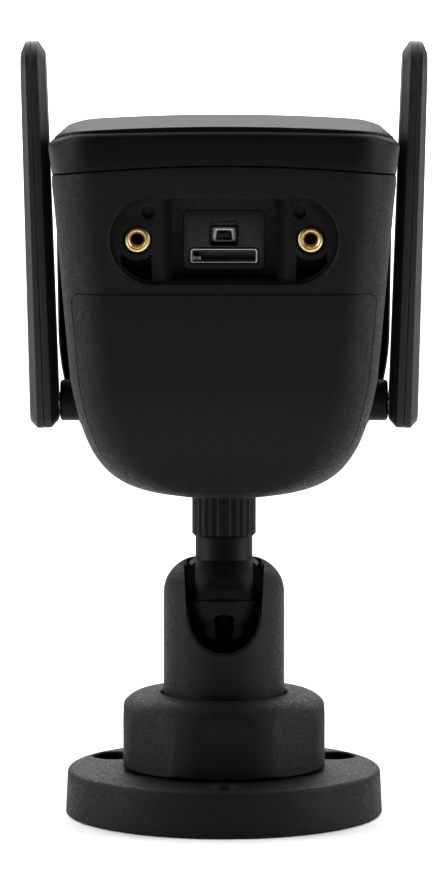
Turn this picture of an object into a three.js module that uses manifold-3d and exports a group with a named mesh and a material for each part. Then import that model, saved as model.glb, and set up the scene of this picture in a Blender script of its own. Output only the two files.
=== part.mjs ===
// Outdoor bullet camera with two side antennas on a ball-joint wall bracket.
// Millimetres, +Z up, origin at the centre of the bracket's flat underside.
// The lens looks along -Y and the service bay faces +Y.
import * as THREE from 'three';
import { mergeVertices } from 'three/addons/utils/BufferGeometryUtils.js';
import Module from 'manifold-3d';

const wasm = await Module();
wasm.setup();

// ---- driving dimensions, mm ----
const fixedGap = 0.05;            // between curved faces of pieces that are screwed together
const moveGap = 0.3;              // between pieces that move on each other

const baseRadius = 31.4;
const baseTopRadius = 31.0;
const baseHeight = 9.1;
const baseEdge = 1.0;
const baseFloor = 4;
const screwCircle = 25;
const screwHoleRadius = 2.1;
const rearSinkRadius = 3.2;
const frontSinkRadius = 4.7;
const sinkDepth = 3.2;

const ballRadius = 9.75;
const ballHeight = 43;
const neckRadius = 5.65;
const cableBoreRadius = 2.6;
const outletHalfWidth = 3.65;
const outletBottom = 34.8;
const outletTop = 40.6;

const socketRadius = 11.95;
const socketTop = 51.3;
const domeRadius = 7;
const domeOpening = 7.2;
const slotTopHalfWidth = 7.4;
const slotEndRadius = 6.8;
const slotEndHeight = 39.9;
const flangeThickness = 3;
const flangeWidth = 2.25;
const seatRim = 37;

const bossTop = 15;
const bossWall = 2.1;
const washerThickness = 1.6;
const nutAcrossFlats = 39.8;
const nutSides = 8;
const nutCornerRadius = 20.9;
const nutTopThickness = 3.6;
const nutShoulder = 5.6;
const nutBottomGap = 0.5;
const nutOpeningGap = 0.45;

const collarRadius = 6.4;
const collarBottom = 55.3;
const neckInCollar = 5;
const clampRingThickness = 4;

const headRear = 38;
const headFront = -64;
const headSplit = -12;
const headTop = 136.9;
const headBottom = 64;
const headTopHalfWidth = 33.6;
const rearTaper = 4;
const frontTaper = 0.6;
const headWaistHalfWidth = headTopHalfWidth - rearTaper;
const frontWaistHalfWidth = headTopHalfWidth - frontTaper;
const cornerDrop = 2.9;
const waistRise = 25;
const seamArchRadius = 290;
const roofArchRadius = 800;
const topSlope = 1.4 * Math.PI / 180;
const hoodDepth = 6.6;
const hoodRoof = 2.5;
const shellWall = 3;
const rearCornerWidth = 9;
const rearCornerDepth = 12;
const rearBottomRadius = 25;
const coverTop = 105.9;
const coverEdgeInset = 2.6;
const coverThickness = 1.4;
const coverProud = 0.3;
const shieldHalfWidth = 32.4;
const shieldProud = 0.95;
const shieldArchRadius = 440;
const shieldCorner = 9;
const shieldRear = 36.8;
const sealThickness = 0.6;

const bayHeight = 116.2;
const bayRadius = 8.4;
const bayHalfLength = 21.75;
const bayLedgeDepth = 2;
const bayDepth = 7;
const bayFloorThickness = 2;
const trayRim = 1.6;
const trayStep = 2;
const bayCentreHalfWidth = 12.1;
const insertSpacing = 33;
const insertRadius = 2.4;
const insertBore = 1.2;
const insertLength = 5;
const pinHoleSpacing = 29;
const pinHoleRise = 5.3;
const pinHoleRadius = 1.25;
const pocketHalfWidth = 2.8;
const pocketTopDrop = 3.2;

const panelHalfWidth = 7.7;
const panelBottom = 110.2;
const panelTop = 121.5;
const panelThickness = 1.5;
const windowHalfWidth = 2.47;
const windowBottom = 115.1;
const windowTop = 119.2;
const cardSlotHalfWidth = 5.55;
const cardSlotHeight = 1.3;
const cardSocketHalfWidth = 6.13;
const cardSocketBottom = 111.6;
const cardSocketTop = 114.2;
const cardSocketLength = 4.9;
const boardThickness = 1.2;
const buttonTravel = 0.25;

const lensHeight = 101;
const barrelRadius = 8;
const barrelLength = 17;
const spotSpacing = 42;
const spotRadius = 7.4;
const bezelDepth = 6;
const bezelWidth = 3.4;
const windowPlate = 1.5;
const filterTravel = 10;

const antennaPivotY = 5;
const antennaPivotHeight = 82.6;
const antennaRootGap = 2.8;
const antennaTopGap = 0.6;
const antennaThickness = 5.6;
const antennaTipThickness = 4.8;
const antennaHalfWidth = 7;
const antennaAbove = 70.4;
const antennaBelow = 4.9;
const antennaEdge = 1.4;
const antennaBossRadius = 4;
const antennaPinRadius = 1.8;
const restHeight = 129.3;
const restRadius = 2.85;
const restProud = 0.7;
const antennaInnerFace = headWaistHalfWidth + antennaRootGap;
const antennaLean = headTopHalfWidth + antennaTopGap - antennaInnerFace;
const antennaSplay = Math.atan2(antennaLean, headTop - cornerDrop - antennaPivotHeight);

const baseSegments = 36;
const roundSegments = 24;
const fineSegments = 12;

// ---- materials ----
function finish(colour, roughness, metalness = 0) {
  return new THREE.MeshStandardMaterial({ color: colour, roughness, metalness });
}
const grainedPlastic = finish(0x232321, 0.75);
const satinPlastic = finish(0x161616, 0.45);
const glossPlastic = finish(0x0b0b0c, 0.12);
const innerPlastic = finish(0x1c1c1d, 0.6);
const blackRubber = finish(0x101010, 0.9);
const brass = finish(0xbea56e, 0.3, 1);
const steel = finish(0xb9bbbd, 0.35, 1);
const aluminium = finish(0xa9abad, 0.45, 1);
const greenBoard = finish(0x1d4a2f, 0.55);
const clearGlass = finish(0x8fa0b0, 0.05);
const lampYellow = finish(0xe8d77a, 0.4);
const clearPlastic = finish(0xd8dcdf, 0.15);

// ---- solids ----
function solidFrom(geometry) {
  const bare = geometry.clone();
  bare.deleteAttribute('normal');
  bare.deleteAttribute('uv');
  const merged = mergeVertices(bare, 1e-4);
  const index = merged.index.array;
  const kept = [];
  for (let i = 0; i < index.length; i += 3) {
    const [a, b, c] = [index[i], index[i + 1], index[i + 2]];
    if (a !== b && b !== c && c !== a) kept.push(a, b, c);
  }
  const vertProperties = new Float32Array(merged.attributes.position.array);
  return new wasm.Manifold(new wasm.Mesh({ numProp: 3, vertProperties, triVerts: new Uint32Array(kept) }));
}

function geometryFrom(solid) {
  const mesh = solid.getMesh();
  const geometry = new THREE.BufferGeometry();
  geometry.setAttribute('position', new THREE.BufferAttribute(new Float32Array(mesh.vertProperties), 3));
  geometry.setIndex(new THREE.BufferAttribute(new Uint32Array(mesh.triVerts), 1));
  geometry.computeVertexNormals();
  return geometry;
}

function block(x0, x1, y0, y1, z0, z1) {
  const geometry = new THREE.BoxGeometry(x1 - x0, y1 - y0, z1 - z0);
  geometry.translate((x0 + x1) / 2, (y0 + y1) / 2, (z0 + z1) / 2);
  return solidFrom(geometry);
}

// A rod along one axis, from one place on it to another, at a centre across it.
function rod(axis, radius, from, to, across = [0, 0], segments = fineSegments) {
  const geometry = new THREE.CylinderGeometry(radius, radius, to - from, segments);
  const middle = (from + to) / 2;
  if (axis === 'x') {
    geometry.rotateZ(-Math.PI / 2);
    geometry.translate(middle, across[0], across[1]);
  } else if (axis === 'y') {
    geometry.translate(across[0], middle, across[1]);
  } else {
    geometry.rotateX(Math.PI / 2);
    geometry.translate(across[0], across[1], middle);
  }
  return solidFrom(geometry);
}

// A turned piece: pairs of radius and height, from the bottom up, closed on the Z axis.
function turned(pairs, segments = roundSegments) {
  const points = pairs.map(([radius, height]) => new THREE.Vector2(radius, height));
  const geometry = new THREE.LatheGeometry(points, segments);
  geometry.rotateX(Math.PI / 2);
  return solidFrom(geometry);
}

const alongAxis = {
  x: new THREE.Matrix4().makeBasis(
    new THREE.Vector3(0, 1, 0), new THREE.Vector3(0, 0, 1), new THREE.Vector3(1, 0, 0)),
  y: new THREE.Matrix4().makeBasis(
    new THREE.Vector3(-1, 0, 0), new THREE.Vector3(0, 0, 1), new THREE.Vector3(0, 1, 0)),
  z: new THREE.Matrix4(),
};

// A shape drawn across one axis and pushed along it. Across Y it is drawn as (-x, z).
function prism(axis, shape, from, to, options = {}) {
  const bevel = options.bevelThickness ?? 0;
  const geometry = new THREE.ExtrudeGeometry(shape, {
    depth: to - from - 2 * bevel,
    bevelEnabled: bevel > 0,
    curveSegments: 5,
    ...options,
  });
  geometry.translate(0, 0, from + bevel);
  geometry.applyMatrix4(alongAxis[axis]);
  return solidFrom(geometry);
}

function arc(cx, cy, radius, start, end, steps) {
  return Array.from({ length: steps + 1 }, (_, i) => {
    const angle = start + (end - start) * i / steps;
    return [cx + radius * Math.cos(angle), cy + radius * Math.sin(angle)];
  });
}

function stadium(halfLength, radius, cy) {
  const shape = new THREE.Shape();
  const cx = halfLength - radius;
  shape.moveTo(-cx, cy - radius);
  shape.lineTo(cx, cy - radius);
  shape.absarc(cx, cy, radius, -Math.PI / 2, Math.PI / 2, false);
  shape.lineTo(-cx, cy + radius);
  shape.absarc(-cx, cy, radius, Math.PI / 2, Math.PI * 1.5, false);
  return shape;
}

function roundedRectangle(x0, x1, y0, y1, radius) {
  const shape = new THREE.Shape();
  shape.moveTo(x0 + radius, y0);
  shape.lineTo(x1 - radius, y0);
  shape.absarc(x1 - radius, y0 + radius, radius, -Math.PI / 2, 0, false);
  shape.lineTo(x1, y1 - radius);
  shape.absarc(x1 - radius, y1 - radius, radius, 0, Math.PI / 2, false);
  shape.lineTo(x0 + radius, y1);
  shape.absarc(x0 + radius, y1 - radius, radius, Math.PI / 2, Math.PI, false);
  shape.lineTo(x0, y0 + radius);
  shape.absarc(x0 + radius, y0 + radius, radius, Math.PI, Math.PI * 1.5, false);
  return shape;
}

const model = new THREE.Group();
function add(name, solid, material, group = model) {
  const mesh = new THREE.Mesh(geometryFrom(solid), material);
  mesh.name = name;
  group.add(mesh);
  return mesh;
}

// ---- bracket ----
const bossRadius = socketRadius + moveGap + bossWall;
const flangeBottom = bossTop + moveGap;
const flangeTop = flangeBottom + flangeThickness;
const washerBottom = flangeTop + moveGap;
const nutCeiling = washerBottom + washerThickness + moveGap;
const nutBottom = baseHeight + nutBottomGap;
const nutTop = nutCeiling + nutTopThickness;
const nutBore = bossRadius + 0.4;

function basePlate() {
  const plate = turned([
    [0, 0],
    [baseRadius - 0.4, 0],
    [baseRadius, 0.4],
    ...arc(baseTopRadius - baseEdge, baseHeight - baseEdge, baseEdge, 0, Math.PI / 2, 2),
    [bossRadius, baseHeight],
    [bossRadius, bossTop],
    [socketRadius + moveGap, bossTop],
    [socketRadius + moveGap, baseFloor],
    [0, baseFloor],
  ], baseSegments);
  let drilled = plate;
  for (let i = 0; i < 3; i += 1) {
    const angle = Math.PI / 2 + i * 2 * Math.PI / 3;
    const place = [screwCircle * Math.cos(angle), screwCircle * Math.sin(angle)];
    drilled = drilled.subtract(rod('z', screwHoleRadius, -1, baseHeight + 1, place));
    if (i === 0) {
      const sink = new THREE.CylinderGeometry(rearSinkRadius, screwHoleRadius, 2, fineSegments);
      sink.rotateX(Math.PI / 2);
      sink.translate(place[0], place[1], baseHeight - 1 + 0.001);
      drilled = drilled.subtract(solidFrom(sink));
    } else {
      drilled = drilled.subtract(rod('z', frontSinkRadius, baseHeight - sinkDepth, baseHeight + 1, place));
    }
  }
  return drilled;
}

function ballSeat() {
  const cup = ballRadius + moveGap;
  const seatRadius = socketRadius - 1.9 - moveGap;
  const cupAngle = Math.acos((ballHeight - seatRim) / cup);
  return turned([
    [0, baseFloor],
    [seatRadius, baseFloor],
    [seatRadius, seatRim],
    ...arc(0, ballHeight, cup, -Math.PI / 2 + cupAngle, -Math.PI / 2, 5),
  ]);
}

function nutWasher() {
  return turned([
    [socketRadius + moveGap, washerBottom],
    [bossRadius, washerBottom],
    [bossRadius, washerBottom + washerThickness],
    [socketRadius + moveGap, washerBottom + washerThickness],
    [socketRadius + moveGap, washerBottom],
  ]);
}

function lockNut() {
  const opening = socketRadius + nutOpeningGap;
  const shoulderInner = nutCornerRadius - nutShoulder;
  const knob = turned([
    [nutBore, nutBottom],
    [nutCornerRadius - 0.6, nutBottom],
    [nutCornerRadius, nutBottom + 0.6],
    ...arc(shoulderInner, nutTop - nutShoulder, nutShoulder, 0, Math.PI / 2, 3),
    [opening + 0.4, nutTop],
    [opening, nutTop - 0.4],
    [opening, nutCeiling],
    [nutBore, nutCeiling],
    [nutBore, nutBottom],
  ], 48);
  const flats = new THREE.Shape();
  const corner = nutAcrossFlats / 2 / Math.cos(Math.PI / nutSides);
  for (let i = 0; i < nutSides; i += 1) {
    const angle = (i + 0.5) * 2 * Math.PI / nutSides;
    const point = [corner * Math.cos(angle), corner * Math.sin(angle)];
    if (i === 0) flats.moveTo(...point);
    else flats.lineTo(...point);
  }
  return knob.intersect(prism('z', flats, nutBottom - 1, nutTop + 1));
}

function socketTube() {
  const bore = socketRadius - 1.9;
  const hollow = ballRadius + moveGap;
  const rimHeight = ballHeight + Math.sqrt(hollow ** 2 - domeOpening ** 2);
  const rimAngle = Math.atan2(rimHeight - ballHeight, domeOpening);
  const domeCentre = [socketRadius - domeRadius, socketTop - domeRadius];
  const outerEnd = Math.acos((domeOpening - domeCentre[0]) / domeRadius);
  const flangeRadius = socketRadius + flangeWidth;
  const tube = turned([
    [bore, baseFloor + 2],
    [socketRadius, baseFloor + 2],
    [socketRadius, flangeBottom],
    [flangeRadius, flangeBottom],
    [flangeRadius, flangeTop],
    [socketRadius, flangeTop],
    ...arc(...domeCentre, domeRadius, 0, outerEnd, 4),
    ...arc(0, ballHeight, hollow, rimAngle, 0, 5),
    [bore, ballHeight - 1],
    [bore, baseFloor + 2],
  ]);
  const slot = new THREE.Shape();
  slot.moveTo(slotTopHalfWidth, socketTop + 2);
  slot.lineTo(-slotTopHalfWidth, socketTop + 2);
  slot.lineTo(-slotEndRadius, slotEndHeight);
  slot.absarc(0, slotEndHeight, slotEndRadius, Math.PI, 2 * Math.PI, false);
  return tube.subtract(prism('y', slot, 0, socketRadius + 2));
}

function ballStem() {
  const neckTop = collarBottom + neckInCollar;
  const joinAngle = Math.acos(neckRadius / ballRadius);
  const stem = turned([
    [0, ballHeight],
    ...arc(0, ballHeight, ballRadius, 0, joinAngle, 5),
    [neckRadius, neckTop],
    [0, neckTop],
  ]);
  return stem.subtract(rod('z', cableBoreRadius, ballHeight - 1, neckTop + 1));
}

function ballCap() {
  const cap = turned([
    ...arc(0, ballHeight, ballRadius, -Math.PI / 2, 0, 6),
    [0, ballHeight],
  ]);
  const outlet = new THREE.Shape();
  outlet.moveTo(-outletHalfWidth, outletBottom);
  outlet.lineTo(outletHalfWidth, outletBottom);
  outlet.lineTo(outletHalfWidth, outletTop - outletHalfWidth);
  outlet.absarc(0, outletTop - outletHalfWidth, outletHalfWidth, 0, Math.PI, false);
  return cap
    .subtract(prism('y', outlet, 2, ballRadius + 1))
    .subtract(rod('z', cableBoreRadius, outletBottom + 1, ballHeight + 1));
}

add('base_plate', basePlate(), grainedPlastic);
add('ball_seat', ballSeat(), innerPlastic);
add('nut_washer', nutWasher(), innerPlastic);
add('lock_nut', lockNut(), grainedPlastic);
add('socket_tube', socketTube(), grainedPlastic);
add('ball_stem', ballStem(), satinPlastic);
add('ball_cap', ballCap(), satinPlastic);

// ---- head shells ----
// Half outline of the head from the bottom centre up one side, as (x, z) pairs.
function outlinePoints(kind) {
  const half = new THREE.Path();
  half.moveTo(0, headBottom);
  if (kind === 'rear') {
    const waist = headWaistHalfWidth;
    half.lineTo(waist - 18.6, headBottom + 0.9);
    half.bezierCurveTo(waist - 6.4, headBottom + 2.2, waist - 2.6, headBottom + 10, waist, headBottom + waistRise);
  } else {
    const waist = frontWaistHalfWidth;
    half.lineTo(waist - 19.7, headBottom + 1.8);
    half.bezierCurveTo(waist - 6.6, headBottom + 3, waist - 0.6, headBottom + 15, waist, headBottom + 30);
  }
  half.lineTo(headTopHalfWidth, headTop - cornerDrop);
  const side = half.getPoints(6);
  side.push(new THREE.Vector2(headTopHalfWidth + 1.8, headTop + 30));
  const other = side.slice(1).reverse().map((p) => new THREE.Vector2(-p.x, p.y));
  return [...side, ...other];
}

// The outline moved inwards all round by a distance.
function insetOutline(points, inset) {
  const count = points.length;
  return points.map((point, i) => {
    const before = points[(i + count - 1) % count];
    const after = points[(i + 1) % count];
    const first = point.clone().sub(before).normalize();
    const second = after.clone().sub(point).normalize();
    const normal = new THREE.Vector2(-first.y - second.y, first.x + second.x).normalize();
    const stretch = 1 / Math.max(0.5, -first.y * normal.x + first.x * normal.y);
    return point.clone().addScaledVector(normal, inset * stretch);
  });
}

function outlineShape(kind, inset = 0) {
  return new THREE.Shape(insetOutline(outlinePoints(kind), inset));
}

// Everything below an arched roof that falls towards the front.
function underRoof(height, radius = seamArchRadius) {
  const shape = new THREE.Shape();
  const reach = 45;
  shape.moveTo(-reach, -200);
  shape.lineTo(reach, -200);
  const halfAngle = Math.asin(reach / radius);
  arc(0, -radius, radius, Math.PI / 2 - halfAngle, Math.PI / 2 + halfAngle, 12)
    .forEach(([x, z]) => shape.lineTo(x, z));
  const geometry = new THREE.ExtrudeGeometry(shape, { depth: 130, bevelEnabled: false });
  geometry.translate(0, 0, -110);
  geometry.applyMatrix4(alongAxis.y);
  geometry.rotateX(topSlope);
  geometry.translate(0, headRear, height);
  return solidFrom(geometry);
}

// A closed body through sections of equal point count, each at its own place along Y.
function loft(sections) {
  const count = sections[0].points.length;
  const positions = sections.flatMap(({ y, points }) => points.flatMap((p) => [p.x, y, p.y]));
  const triangles = [];
  for (let ring = 0; ring + 1 < sections.length; ring += 1) {
    for (let i = 0; i < count; i += 1) {
      const a = ring * count + i;
      const b = ring * count + (i + 1) % count;
      triangles.push(a, b + count, b, a, a + count, b + count);
    }
  }
  const last = (sections.length - 1) * count;
  for (const [a, b, c] of THREE.ShapeUtils.triangulateShape(sections[0].points, [])) {
    triangles.push(a, b, c);
    triangles.push(last + a, last + c, last + b);
  }
  return new wasm.Manifold(new wasm.Mesh({
    numProp: 3,
    vertProperties: new Float32Array(positions),
    triVerts: new Uint32Array(triangles),
  }));
}

// The rear half of the head as one full solid, drawn in by a wall thickness.
function rearForm(inset, from = headSplit + sealThickness / 2) {
  const rear = headRear - inset;
  const steps = 4;
  const outline = outlinePoints('rear');
  const sections = [{ y: from, points: insetOutline(outline, inset) }];
  for (let i = 0; i <= steps; i += 1) {
    const turn = i * Math.PI / 2 / steps;
    sections.push({
      y: rear - rearCornerDepth * (1 - Math.sin(turn)),
      points: insetOutline(outline, inset + rearCornerWidth * (1 - Math.cos(turn))),
    });
  }
  const side = new THREE.Shape();
  const centre = [headRear - rearBottomRadius, headBottom + rearBottomRadius];
  side.moveTo(from - 1, headBottom + inset);
  side.lineTo(centre[0], headBottom + inset);
  side.absarc(...centre, rearBottomRadius - inset, -Math.PI / 2, 0, false);
  side.lineTo(rear, headTop + 5);
  side.lineTo(from - 1, headTop + 5);
  return loft(sections).intersect(prism('x', side, -50, 50));
}

function frontForm(inset, from, to) {
  return prism('y', outlineShape('front', inset), from, to);
}

const seamHeight = headTop - hoodDepth;
const bayFace = headRear - bayLedgeDepth;
const bayFloor = headRear - bayDepth;
const frontEnd = headFront + bezelDepth;
const shellFrontEnd = headSplit - sealThickness / 2;

function coverPrism(inset) {
  const lower = prism('y', outlineShape('rear', coverEdgeInset + inset), headSplit + 30, headRear + 2);
  return lower.intersect(prism('y', roundedRectangle(-60, 60, 0, coverTop - inset, 2), 0, headRear + 3));
}

function pivotBore(side) {
  return rod('x', antennaPinRadius + moveGap, side > 0 ? 20 : -40, side > 0 ? 40 : -20,
    [antennaPivotY, antennaPivotHeight]);
}

function antennaBoss(side) {
  const outer = antennaInnerFace - moveGap;
  const inner = headWaistHalfWidth - 4;
  return rod('x', antennaBossRadius, side > 0 ? inner : -outer, side > 0 ? outer : -inner,
    [antennaPivotY, antennaPivotHeight]);
}

// The tray of the service bay, which sits behind the opening from inside.
function serviceTray() {
  const rim = prism('y', stadium(bayHalfLength + trayRim, bayRadius + trayRim, bayHeight),
    bayFloor - bayFloorThickness, bayFace - trayStep);
  return rim
    .add(prism('y', stadium(bayHalfLength - fixedGap, bayRadius - fixedGap, bayHeight), bayFloor, bayFace))
    .subtract(bayHollows());
}

function bayHollows() {
  const centre = prism('y', roundedRectangle(-bayCentreHalfWidth, bayCentreHalfWidth,
    bayHeight - bayRadius + 0.5, bayHeight + bayRadius - 0.5, 1), bayFloor, headRear + 1);
  const panelHole = prism('y', roundedRectangle(-panelHalfWidth - fixedGap, panelHalfWidth + fixedGap,
    panelBottom - fixedGap, panelTop + fixedGap, 1), bayFloor - bayFloorThickness - 1, headRear);
  let hollows = centre.add(panelHole);
  for (const side of [-1, 1]) {
    const insertX = side * insertSpacing / 2;
    const pocketTop = bayHeight - pocketTopDrop;
    hollows = hollows
      .add(rod('y', insertRadius + fixedGap, bayFace - insertLength - 0.5, headRear, [insertX, bayHeight]))
      .add(rod('y', pinHoleRadius, bayFace - 3, headRear, [side * pinHoleSpacing / 2, bayHeight + pinHoleRise]))
      .add(block(insertX - pocketHalfWidth, insertX + pocketHalfWidth, bayFloor, headRear,
        bayHeight - 6.4, pocketTop));
  }
  return hollows;
}

function rearShell() {
  let shell = rearForm(0)
    .subtract(rearForm(shellWall, headSplit - 1))
    .intersect(underRoof(seamHeight - fixedGap));
  for (const side of [-1, 1]) {
    shell = shell.add(antennaBoss(side)).subtract(pivotBore(side));
  }
  const coverPocket = coverPrism(-fixedGap).subtract(rearForm(coverThickness - coverProud + fixedGap));
  return shell
    .subtract(coverPocket)
    .subtract(prism('y', stadium(bayHalfLength, bayRadius, bayHeight), bayFloor, headRear + 1))
    .subtract(prism('y', stadium(bayHalfLength + trayRim + fixedGap, bayRadius + trayRim + fixedGap, bayHeight),
      bayFloor, bayFace - trayStep + fixedGap))
    .subtract(rod('z', collarRadius + fixedGap, headBottom - 5, headBottom + 10));
}

function lowerRearCover() {
  return rearForm(-coverProud)
    .intersect(coverPrism(0))
    .subtract(rearForm(coverThickness - coverProud, headSplit - 1))
    .subtract(rod('z', collarRadius + 1, headBottom - 5, headBottom + 10))
    .intersect(block(-50, 50, headSplit + 30, 60, 0, 200));
}

function frontShell() {
  let shell = frontForm(0, frontEnd, shellFrontEnd)
    .subtract(frontForm(shellWall, frontEnd - 1, shellFrontEnd + 1))
    .intersect(underRoof(seamHeight - fixedGap));
  for (let i = 0; i < 7; i += 1) {
    const angle = i * Math.PI / 3;
    const reach = i === 6 ? 0 : 3.6;
    shell = shell.subtract(rod('z', 0.8, headBottom - 2, headBottom + 8,
      [reach * Math.cos(angle), -35 + reach * Math.sin(angle)], 10));
  }
  return shell;
}

function topHood() {
  const outer = rearForm(0, headSplit).add(frontForm(0, headFront, headSplit + 0.01));
  const inner = rearForm(shellWall, headSplit).add(frontForm(shellWall, headFront + shellWall, headSplit + 0.01));
  return outer
    .intersect(underRoof(headTop, roofArchRadius))
    .subtract(underRoof(seamHeight))
    .subtract(inner.intersect(underRoof(headTop - hoodRoof, roofArchRadius)))
    .subtract(roofPocket());
}

const shieldFront = headFront + 0.6;
function shieldOutline(grow) {
  return roundedRectangle(-shieldHalfWidth - grow, shieldHalfWidth + grow,
    shieldFront - grow, shieldRear + grow, shieldCorner);
}

function roofPocket() {
  const above = prism('z', shieldOutline(fixedGap), headTop - 30, headTop + 20);
  return above.subtract(underRoof(headTop - 1.2, roofArchRadius));
}

function topShield() {
  const shape = new THREE.Shape();
  const reach = 36;
  const halfAngle = Math.asin(reach / shieldArchRadius);
  shape.moveTo(-reach, -30);
  shape.lineTo(reach, -30);
  arc(0, -shieldArchRadius, shieldArchRadius, Math.PI / 2 - halfAngle, Math.PI / 2 + halfAngle, 10)
    .forEach(([x, z]) => shape.lineTo(x, z));
  const geometry = new THREE.ExtrudeGeometry(shape, { depth: 120, bevelEnabled: false });
  geometry.translate(0, 0, -110);
  geometry.applyMatrix4(alongAxis.y);
  geometry.rotateX(topSlope);
  geometry.translate(0, headRear, headTop + shieldProud);
  return solidFrom(geometry)
    .intersect(prism('z', shieldOutline(0), headTop - 30, headTop + 20))
    .subtract(underRoof(headTop - 1.2 + fixedGap, roofArchRadius));
}

function sealRing() {
  return prism('y', outlineShape('rear', 0.8), shellFrontEnd, headSplit + sealThickness / 2)
    .subtract(prism('y', outlineShape('rear', 2.4), shellFrontEnd - 1, headSplit + 1))
    .intersect(underRoof(seamHeight - 1));
}

function stemCollar() {
  const bore = neckRadius + moveGap;
  const boreTop = collarBottom + neckInCollar + moveGap;
  const ringTop = headBottom + 8.3;
  return turned([
    [cableBoreRadius, boreTop],
    [bore, boreTop],
    [bore, collarBottom],
    [collarRadius - 0.4, collarBottom],
    [collarRadius, collarBottom + 0.5],
    [collarRadius, ringTop],
    [cableBoreRadius, ringTop],
    [cableBoreRadius, boreTop],
  ], fineSegments);
}

function collarRing() {
  const bottom = headBottom + 4;
  return turned([
    [collarRadius + fixedGap, bottom],
    [collarRadius + 3, bottom],
    [collarRadius + 3, bottom + clampRingThickness],
    [collarRadius + fixedGap, bottom + clampRingThickness],
    [collarRadius + fixedGap, bottom],
  ], fineSegments);
}

add('rear_shell', rearShell(), grainedPlastic);
add('service_tray', serviceTray(), grainedPlastic);
add('lower_rear_cover', lowerRearCover(), grainedPlastic);
add('front_shell', frontShell(), grainedPlastic);
add('top_hood', topHood(), satinPlastic);
add('top_shield', topShield(), satinPlastic);
add('shell_seal', sealRing(), blackRubber);
add('stem_collar', stemCollar(), satinPlastic);
add('collar_ring', collarRing(), steel);

// ---- service bay ----
const panelBack = bayFloor - panelThickness;
const serviceBoardFront = bayFloor - cardSocketLength;

function threadInsert(side) {
  const x = side * insertSpacing / 2;
  return rod('y', insertRadius, bayFace - insertLength, bayFace + 0.4, [x, bayHeight])
    .subtract(rod('y', insertBore, bayFace - insertLength - 1, bayFace + 1, [x, bayHeight]));
}

function servicePanel() {
  const plate = prism('y', roundedRectangle(-panelHalfWidth, panelHalfWidth, panelBottom, panelTop, 1),
    panelBack, bayFloor);
  return plate
    .subtract(block(-windowHalfWidth, windowHalfWidth, 0, headRear, windowBottom, windowTop))
    .subtract(block(-cardSocketHalfWidth - fixedGap, cardSocketHalfWidth + fixedGap, 0, headRear,
      cardSocketBottom - fixedGap, cardSocketTop + fixedGap));
}

function cardSocket() {
  const middle = (cardSocketBottom + cardSocketTop) / 2;
  const length = cardSocketLength + 0.4;
  return block(-cardSocketHalfWidth, cardSocketHalfWidth, serviceBoardFront, serviceBoardFront + length,
    cardSocketBottom, cardSocketTop)
    .subtract(block(-cardSlotHalfWidth, cardSlotHalfWidth, serviceBoardFront + 0.8, headRear,
      middle - cardSlotHeight / 2, middle + cardSlotHeight / 2));
}

const switchTop = (windowBottom + windowTop) / 2 + 1;
const switchFront = serviceBoardFront + 1.8;
const buttonHeight = (windowBottom + switchTop) / 2;
const buttonHalfWidth = 1.1;
const buttonHalfHeight = 0.5;

function resetSwitch() {
  return block(-windowHalfWidth + 0.2, windowHalfWidth - 0.2, serviceBoardFront, switchFront,
    windowBottom + 0.2, switchTop)
    .subtract(block(-buttonHalfWidth - 0.15, buttonHalfWidth + 0.15, switchFront - 0.9, switchFront + 1,
      buttonHeight - buttonHalfHeight - 0.15, buttonHeight + buttonHalfHeight + 0.15));
}

function resetButton() {
  return block(-buttonHalfWidth, buttonHalfWidth, switchFront - 0.6, switchFront + 0.7,
    buttonHeight - buttonHalfHeight, buttonHeight + buttonHalfHeight);
}

function serviceBoard() {
  return block(-11, 11, serviceBoardFront - boardThickness, serviceBoardFront, 108.5, 123);
}

add('thread_insert_left', threadInsert(-1), brass);
add('thread_insert_right', threadInsert(1), brass);
add('service_panel', servicePanel(), innerPlastic);
add('card_socket', cardSocket(), steel);
add('reset_switch', resetSwitch(), steel);
add('reset_button', resetButton(), innerPlastic);
add('service_board', serviceBoard(), greenBoard);

// ---- main electronics ----
const mainBoardRear = 21.6;
const mainBoardFront = mainBoardRear - boardThickness;
const shieldCanDepth = 3.5;
const spreaderThickness = 2;
add('main_board', block(-23, 23, mainBoardFront, mainBoardRear, 79, 125), greenBoard);
add('shield_can', block(-10, 12, mainBoardFront - shieldCanDepth, mainBoardFront, 95, 119), steel);
add('heat_spreader', block(-20, 20, mainBoardFront - shieldCanDepth - spreaderThickness,
  mainBoardFront - shieldCanDepth, 84, 122), aluminium);
add('speaker', rod('z', 9, headBottom + 8, headBottom + 13, [0, -35]), innerPlastic);

// ---- front optics ----
const plateFront = headFront + 1.2;
const plateBack = plateFront + windowPlate;
const frontBoardFront = plateBack + 3.6;
const frontBoardBack = frontBoardFront + boardThickness;
const barrelFront = headFront + 2;
const holderFront = barrelFront + barrelLength;
const holderBack = holderFront + 7;
const holderHalfWidth = 15;
const filterFront = holderFront + 2.8;
const filterThickness = 1.4;

function windowShape(inset) {
  const points = insetOutline(outlinePoints('front'), bezelWidth + inset);
  return new THREE.Shape(points);
}

function frontBezel() {
  const ring = frontForm(0, headFront + 0.4, frontEnd)
    .subtract(prism('y', windowShape(0), headFront - 1, frontEnd + 1));
  return ring.intersect(underRoof(seamHeight - fixedGap));
}

function frontWindow() {
  let plate = prism('y', windowShape(fixedGap), plateFront, plateBack)
    .intersect(underRoof(seamHeight - 1))
    .subtract(rod('y', barrelRadius + 0.3, headFront - 2, 0, [0, lensHeight]))
    .subtract(rod('y', 0.5, headFront - 2, 0, [0, lensHeight + 17], 10));
  for (const side of [-1, 1]) {
    plate = plate.subtract(rod('y', spotRadius + 0.2, headFront - 2, 0, [side * spotSpacing / 2, lensHeight]));
  }
  return plate;
}

function lensBarrel() {
  return rod('y', barrelRadius, barrelFront, holderFront, [0, lensHeight], 24)
    .subtract(rod('y', 6.6, barrelFront - 1, barrelFront + 4, [0, lensHeight], 24))
    .subtract(rod('y', 4, barrelFront - 1, holderFront + 1, [0, lensHeight]));
}

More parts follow.
